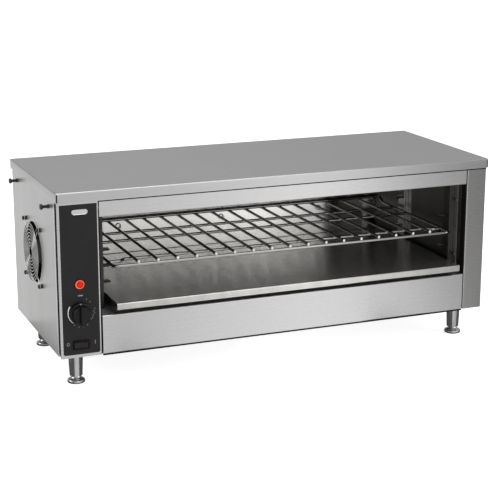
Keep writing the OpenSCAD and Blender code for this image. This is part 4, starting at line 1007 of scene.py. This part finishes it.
# rack supports: channels with half-round tabs
channels = {
    "walls": {"left": (-347.8, -331.8, 1), "right": (381.6, 370.6, -1)},  # wall, face, way in
    "y": {"front": -110.5, "rear": 74.5},
    "low": 72.3, "high": 248.0, "width": 25.0, "flange": 12.0, "sheet": 0.8, "screwZ": (103.5, 213.0),
    "tabs": ((120.6, 14.0), (150.2, 14.0), (179.8, 14.0), (91.0, 4.0)),  # height, length
    "tabRadius": 5.0, "tabWall": 1.2,
}
# the same channels in lit and shaded copies of one steel: painted light and shade
channelLitAndShaded = {  # channel, wings
    "left_front": ("darkSteel", "darkSteel"), "left_rear": ("darkSteel", "darkSteel"),
    "right_front": ("hatSteel", "brightWing"), "right_rear": ("channelSteel", "channelSteel"),
}


def buildChannel(name, wall, face, sign, y):
    c = channels
    half, wing, t, r = c["width"] / 2, c["flange"], c["sheet"], c["tabRadius"]
    room, reach = abs(wall) - t, abs(face)
    path = ((-room + 0.4, y - half), (-reach, y - half), (-reach, y + half), (-room + 0.4, y + half))
    outline = foldedOutline(path, t, 0.7)
    shape = addPrism(newShape(), outline, lambda u, v, w: (sign * u, v, w), c["low"], c["high"])
    wings = newShape()
    a, b = sorted((wall, wall + sign * t))
    for low, high in ((y - half - wing, y - half + t), (y + half - t, y + half + wing)):
        addPlate(wings, (a, low, c["low"]), (b, high, c["high"]), 0.15)
    tab = arcPoints(y, 0, r, 180, 15, 13) + arcPoints(y, 0, r - c["tabWall"], 360, -15, 13)
    for z, length in c["tabs"]:
        a, b = sorted((face - sign * 0.5, face + sign * length))
        addPrism(shape, [(v, z + w) for v, w in tab], inSection, a, b)
    look, wingLook = channelLitAndShaded[name]
    makePiece("channel_%s_wings" % name, wings, wingLook, "cavity_steel")
    makePiece("channel_" + name, shape, look, "cavity_steel", "rack_channel_" + name, edge=0.12)


for side, wallPlace in channels["walls"].items():
    for row, y in channels["y"].items():
        buildChannel(side + "_" + row, *wallPlace, y)

# plugs in the back liner's hook holes, and a raised dark ring of painted shade round each upper hook
hooks = {
    "x": (-219.0, 0.0, 219.0), "z": (120.6, 150.2, 179.8), "radius": 4.2, "front": 157.05, "thick": 0.65,
    "rim": (5.0, 0.85, 156.1),  # radius, half its width, y
}


def buildHookPlugs():
    plugs, shadeRings = newShape(), newShape()
    r, thick = hooks["radius"], hooks["thick"]
    rimRadius, rimHalf, rimY = hooks["rim"]
    for x in hooks["x"]:
        for z in hooks["z"][1:]:
            turn = [inFront(u, v, rimY) for u, v in arcPoints(x, z, rimRadius, 0, 12, 30)]
            addTube(shadeRings, turn, rimHalf, 10, closed=True)
        for z in hooks["z"]:
            profile = ((0, 0), (r - 0.15, 0), (r, 0.15), (r, thick), (0, thick))
            addTurned(plugs, profile, (x, hooks["front"], z), "y", 24)
    makePiece("hookPlugs", plugs, "mirrorSteel", "mirror_steel")
    makePiece("hookShadeRings", shadeRings, "hookDark", "cavity_steel", sharp=40)


buildHookPlugs()

# screws with a pan head and a cross recess
screws = {
    "head": 3.5, "thick": 2.2, "shank": 1.7, "recess": (0.62, 0.11),  # half length and width, per head radius
    "backX": 416.8, "backY": 164, "backZ": (20, 91.5, 190, 262), "underY": (-110, 0, 110),
    "frontX": (-401, -365.7, -287.8, 16.9, 321.6), "frontY": -155,
}


def panHead(radius, thick, shank, length):
    # the head stands along +h from the sheet, the shank goes the other way
    head = addTurned(newShape(), (
        (shank, -length), (shank, 0), (radius, 0), (radius, thick * 0.45), (radius * 0.93, thick * 0.7),
        (radius * 0.75, thick * 0.9), (radius * 0.4, thick), (0.001, thick)), (0, 0, 0), "z", 24)
    r, w = (radius * share for share in screws["recess"])
    bars = [addPlate(newShape(), (-a, -b, thick * 0.45), (a, b, thick + 1), 0.01) for a, b in ((r, w), (w, r))]
    return cutShape(head, bars)


def buildScrews():
    c, s = channels, screws
    size = s["head"], s["thick"], s["shank"]
    short, long = panHead(*size, 6), panHead(*size, 8)
    dark, plated = newShape(), newShape()
    for wall, face, sign in c["walls"].values():
        for y in c["y"].values():
            for dy in (-1, 1):
                for z in c["screwZ"]:
                    centre = (wall + sign * c["sheet"], y + dy * (c["width"] + c["flange"]) / 2, z)
                    addCopy(dark, short, alongAxis(centre, "x" if sign > 0 else "-x"))
    places = [((x, cover["high"][1], cover["screwZ"]), "y") for x in cover["screwX"]]
    for x in (-s["backX"], s["backX"]):
        places += [((x, s["backY"], z), "y") for z in s["backZ"]]
        places += [((x, y, 0), "-z") for y in s["underY"]]
    places += [((x, s["frontY"], 0), "-z") for x in s["frontX"]]
    for centre, axis in places:
        addCopy(plated, long, alongAxis(centre, axis))
    makePiece("channelScrews", dark, "screwDark", "screw_dark", "channel_screws", sharp=40)
    makePiece("sheetScrews", plated, "screwSteel", "screw_steel", "sheet_screws", sharp=40)


buildScrews()
print("rack, tray, supports, screws")

# fan guard and its screws
guard = {
    "spokeX": -429.0, "ringX": -431.05, "wire": 1.0, "rings": 8, "low": 12.0, "high": 54.0, "spokeStart": 11.0,
    "eye": 3.3, "headX": -430.0, "nutX": -385.8, "screw": (4, 3, 2, 49),  # head radius, its height, shank, length
}


def buildGuard():
    g = guard
    y, z, x, eye = fanPlace["y"], fanPlace["z"], g["spokeX"], g["eye"]
    wire = newShape()

    def addWire(path, closed):
        addTube(wire, [inSection(*p) for p in path], g["wire"], 10, closed, up=(1, 0, 0))

    for i in range(g["rings"]):
        r = g["low"] + (g["high"] - g["low"]) * i / (g["rings"] - 1)
        addWire([(u, v, g["ringX"]) for u, v in arcPoints(y, z, r, 0, 5, 72)], True)
    eyeAt = fanPlace["corner"] * math.sqrt(2)
    for degrees in (45, 135, 225, 315):
        addWire([(*onCircle(y, z, r, degrees), x) for r in (g["spokeStart"], eyeAt - eye)], False)
        addWire([(u, v, x) for u, v in arcPoints(*onCircle(y, z, eyeAt, degrees), eye, 0, 15, 24)], True)
    makePiece("fanGuard", wire, "guardChrome", "guard_chrome", "fan_guard", sharp=40)
    bolts, bolt = newShape(), panHead(*g["screw"])
    for y, z in fanCorners():
        addCopy(bolts, bolt, alongAxis((g["headX"], y, z), "-x"))
        addTurned(bolts, ((3.9, 0), (4.05, 0.4), (4.05, 2.8), (3.9, 3.2)), (g["nutX"], y, z), "x", 6)
    makePiece("fanScrews", bolts, "screwBlack", "screw_black", "fan_screws", sharp=40)


buildGuard()

# impeller: a hub with pitched, cambered blades
impeller = {
    "x": -417.8, "hub": 23.0, "length": 26.0, "reach": 54.3, "blades": 7, "rootPitch": 44, "tipPitch": 30,
    "halfChord": 15.0, "camber": 2.4, "thick": 1.5,
}


def buildImpeller():
    m = impeller
    x, hub, length, chord = m["x"], m["hub"], m["length"], m["halfChord"]
    y, z = fanPlace["y"], fanPlace["z"]
    wheel = addTurned(newShape(), (
        (hub, length), (hub, 1.6), (hub - 0.6, 0.6), (hub - 1.8, 0), (12, 0), (11, 0.5), (0, 0.5), (0, 3), (20.5, 3),
        (20.5, length)), (x, y, z), "x", 48, hollow=True)
    addTurned(wheel, ((2, 2.5), (2, 27)), (x, y, z), "x", 20)
    for blade in range(m["blades"]):
        start = 2 * math.pi * blade / m["blades"]
        rings = []
        for i in range(7):
            f = i / 6
            r = hub - 0.6 + (m["reach"] - hub + 0.6) * f
            pitch = math.radians(m["rootPitch"] + (m["tipPitch"] - m["rootPitch"]) * f)
            rows = {1: [], -1: []}  # the blade's two faces
            for k in range(9):
                c = -1 + 2 * k / 8
                for side, row in rows.items():
                    lift = m["camber"] * (1 - c * c) + side * m["thick"] / 2 * (1 - 0.55 * c * c)
                    axial = length / 2 + c * chord * math.sin(pitch) * 0.9 + lift * math.cos(pitch)
                    a = start + (c * chord * math.cos(pitch) - lift * math.sin(pitch)) / r
                    row.append((x + axial - 1, y + r * math.cos(a), z + r * math.sin(a)))
            rings.append(rows[1] + rows[-1][::-1])
        addLoft(wheel, rings)
    makePiece("impellerWheel", wheel, "fanBlack", "fan_black", "fan_impeller", body="impeller", sharp=40)


buildImpeller()

# side pins and their nuts
pins = {"x": -425.0, "nutX": -423.8, "head": 5.0, "shank": 2.75, "collar": 3.75, "end": 16.0}


def buildPins():
    head, shank, collar, end = pins["head"], pins["shank"], pins["collar"], pins["end"]
    profile = (
        (0, end), (head - 1.2, end), (head - 0.3, end - 0.5), (head, end - 1.4), (head, 12), (head - 0.5, 11.2),
        (shank + 0.4, 11), (shank, 10.4), (shank, 3.4), (collar - 0.3, 3), (collar, 2.6), (collar, 0), (shank, 0),
        (shank, -8), (0, -8))
    studs = newShape()
    for y in pinPlace["y"]:
        addTurned(studs, profile, (pins["x"], y, pinPlace["z"]), "-x", 28)
        addTurned(studs, ((4.9, 0), (5.1, 0.4), (5.1, 2.6), (4.9, 3)), (pins["nutX"], y, pinPlace["z"]), "x", 6)
    makePiece("sidePins", studs, "screwBlack", "screw_black", "side_pins", sharp=40)


buildPins()

# legs and levelling feet
legs = {"tip": 11.75, "rim": 0.8, "bore": 4.15, "seat": 4.75, "deep": 15.0}
feet = {"flare": 7.6, "stud": 4.0, "neck": 13.0}


def buildLegs():
    for name in ("front_left", "front_right", "rear_left", "rear_right"):
        low, high = span("leg_" + name)
        footLow, footHigh = span("foot_" + name)
        x, y = (low.x + high.x) / 2, (low.y + high.y) / 2
        big, z = (high.x - low.x) / 2, low.z
        tip, bore, seat, deep = legs["tip"], legs["bore"], legs["seat"], legs["deep"]
        leg = addTurned(newShape(), (
            (bore, z), (tip - legs["rim"], z), (tip - 0.2, z + 0.3), (tip, z + 1), (big - 0.85, -4.8),
            (big - 0.55, -4.1), (big - 0.3, -3.7), (big, -3.2), (big, 0), (seat, 0), (seat, deep),
            (bore, deep)), (x, y, 0), "z", 64, hollow=True)
        makePiece("leg_%s_turned" % name, leg, "legSteel", "leg_steel", "leg_" + name, sharp=40)
        z, pad, stud, neck = footLow.z, (footHigh.x - footLow.x) / 2, feet["stud"], footLow.z + feet["neck"]
        foot = addTurned(newShape(), (
            (0, z), (pad - 1.6, z), (pad - 0.4, z + 0.5), (pad, z + 1.6), (pad - 0.1, z + 4.6), (pad - 0.9, z + 6.0),
            (pad - 3.0, z + 7.0), (11.2, z + 7.8), (9.6, z + 9.0), (8.3, z + 10.6), (feet["flare"], neck - 0.1),
            (stud, neck), (stud, footHigh.z), (0, footHigh.z)), (x, y, 0), "z", 64)
        makePiece(
            "foot_%s_turned" % name, foot, "legSteel", "leg_steel", "foot_" + name,
            body="levelling_" + name, sharp=40)


buildLegs()
print("fan, pins, legs")

# heating elements: smooth hairpins
elements = {"y": {"front": -75.0, "rear": 75.0}, "half": 22.5, "z": 258.0, "wire": 4.0, "left": -373.8, "end": 347.6}


def buildElements():
    e = elements
    half, z, left, right = e["half"], e["z"], e["left"], e["end"] + e["half"]
    for name, y in e["y"].items():
        path = [(left + 10, y - half, z), (right, y - half, z), (right, y + half, z), (left + 10, y + half, z)]
        shape = addTube(newShape(), bendPath(path, (0, half - 0.01, half - 0.01, 0), 16), e["wire"], 20)
        for pinY in (y - half, y + half):
            addTube(shape, ((left, pinY, z), (left + 12, pinY, z)), 1.5, 12)
        makePiece("element_" + name, shape, "elementSheath", "element_sheath", "heating_element_" + name, sharp=40)


buildElements()

# CAD nodes that keep their shape: node, finish, eased edge
keptNodes = {
    "back_panel": ("backSteel", 0.2), "bottom_panel": ("backSteel", 0.2), "floor_supports": ("zincSteel", 0.2),
    "cavity_floor": ("floorSteel", 0.15), "left_liner": ("darkSteel", 0.15), "right_liner": ("linerSteel", 0.15),
    # the heat reflector wears the near-black steel: painted shade
    "back_liner": ("mirrorSteel", 0.15), "heat_reflector": ("reflectorSteel", 0.15), "rocker": ("paddleBlack", 0.35),
    "insulation_top": ("woolMat", 0), "insulation_back": ("woolMat", 0), "element_brackets": ("reflectorSteel", 0.15),
    "element_bushings": ("ceramic", 0.3), "terminal_block": ("ceramic", 0.4), "heat_regulator": ("caseBrown", 0.4),
    "regulator_nut": ("nickel", 0.2), "control_shaft": ("nickel", 0.2), "leg_nuts": ("nickel", 0.3),
    "fan_frame": ("fanBlack", 0.4), "fan_spacers": ("screwBlack", 0.2), "limit_thermostat": ("caseBrown", 0.2),
    "wiring": ("leadRed", 0), "earth_stud": ("brass", 0.2), "cord_gland": ("fanBlack", 0.3),
}
for name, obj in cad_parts.items():
    if name in keptNodes:
        finish, width = keptNodes[name]
        obj.data.materials.clear()
        obj.data.materials.append(finishes[finish])
        for face in obj.data.polygons:
            face.material_index = 0
        obj.data.shade_smooth()
        obj.data.set_sharp_from_angle(angle=math.radians(32))
        easeEdges(obj, width, weld=True)
    elif not obj.data.materials:
        obj.data.materials.append(finishes["backSteel"])
print("kept nodes: %d" % len(keptNodes))
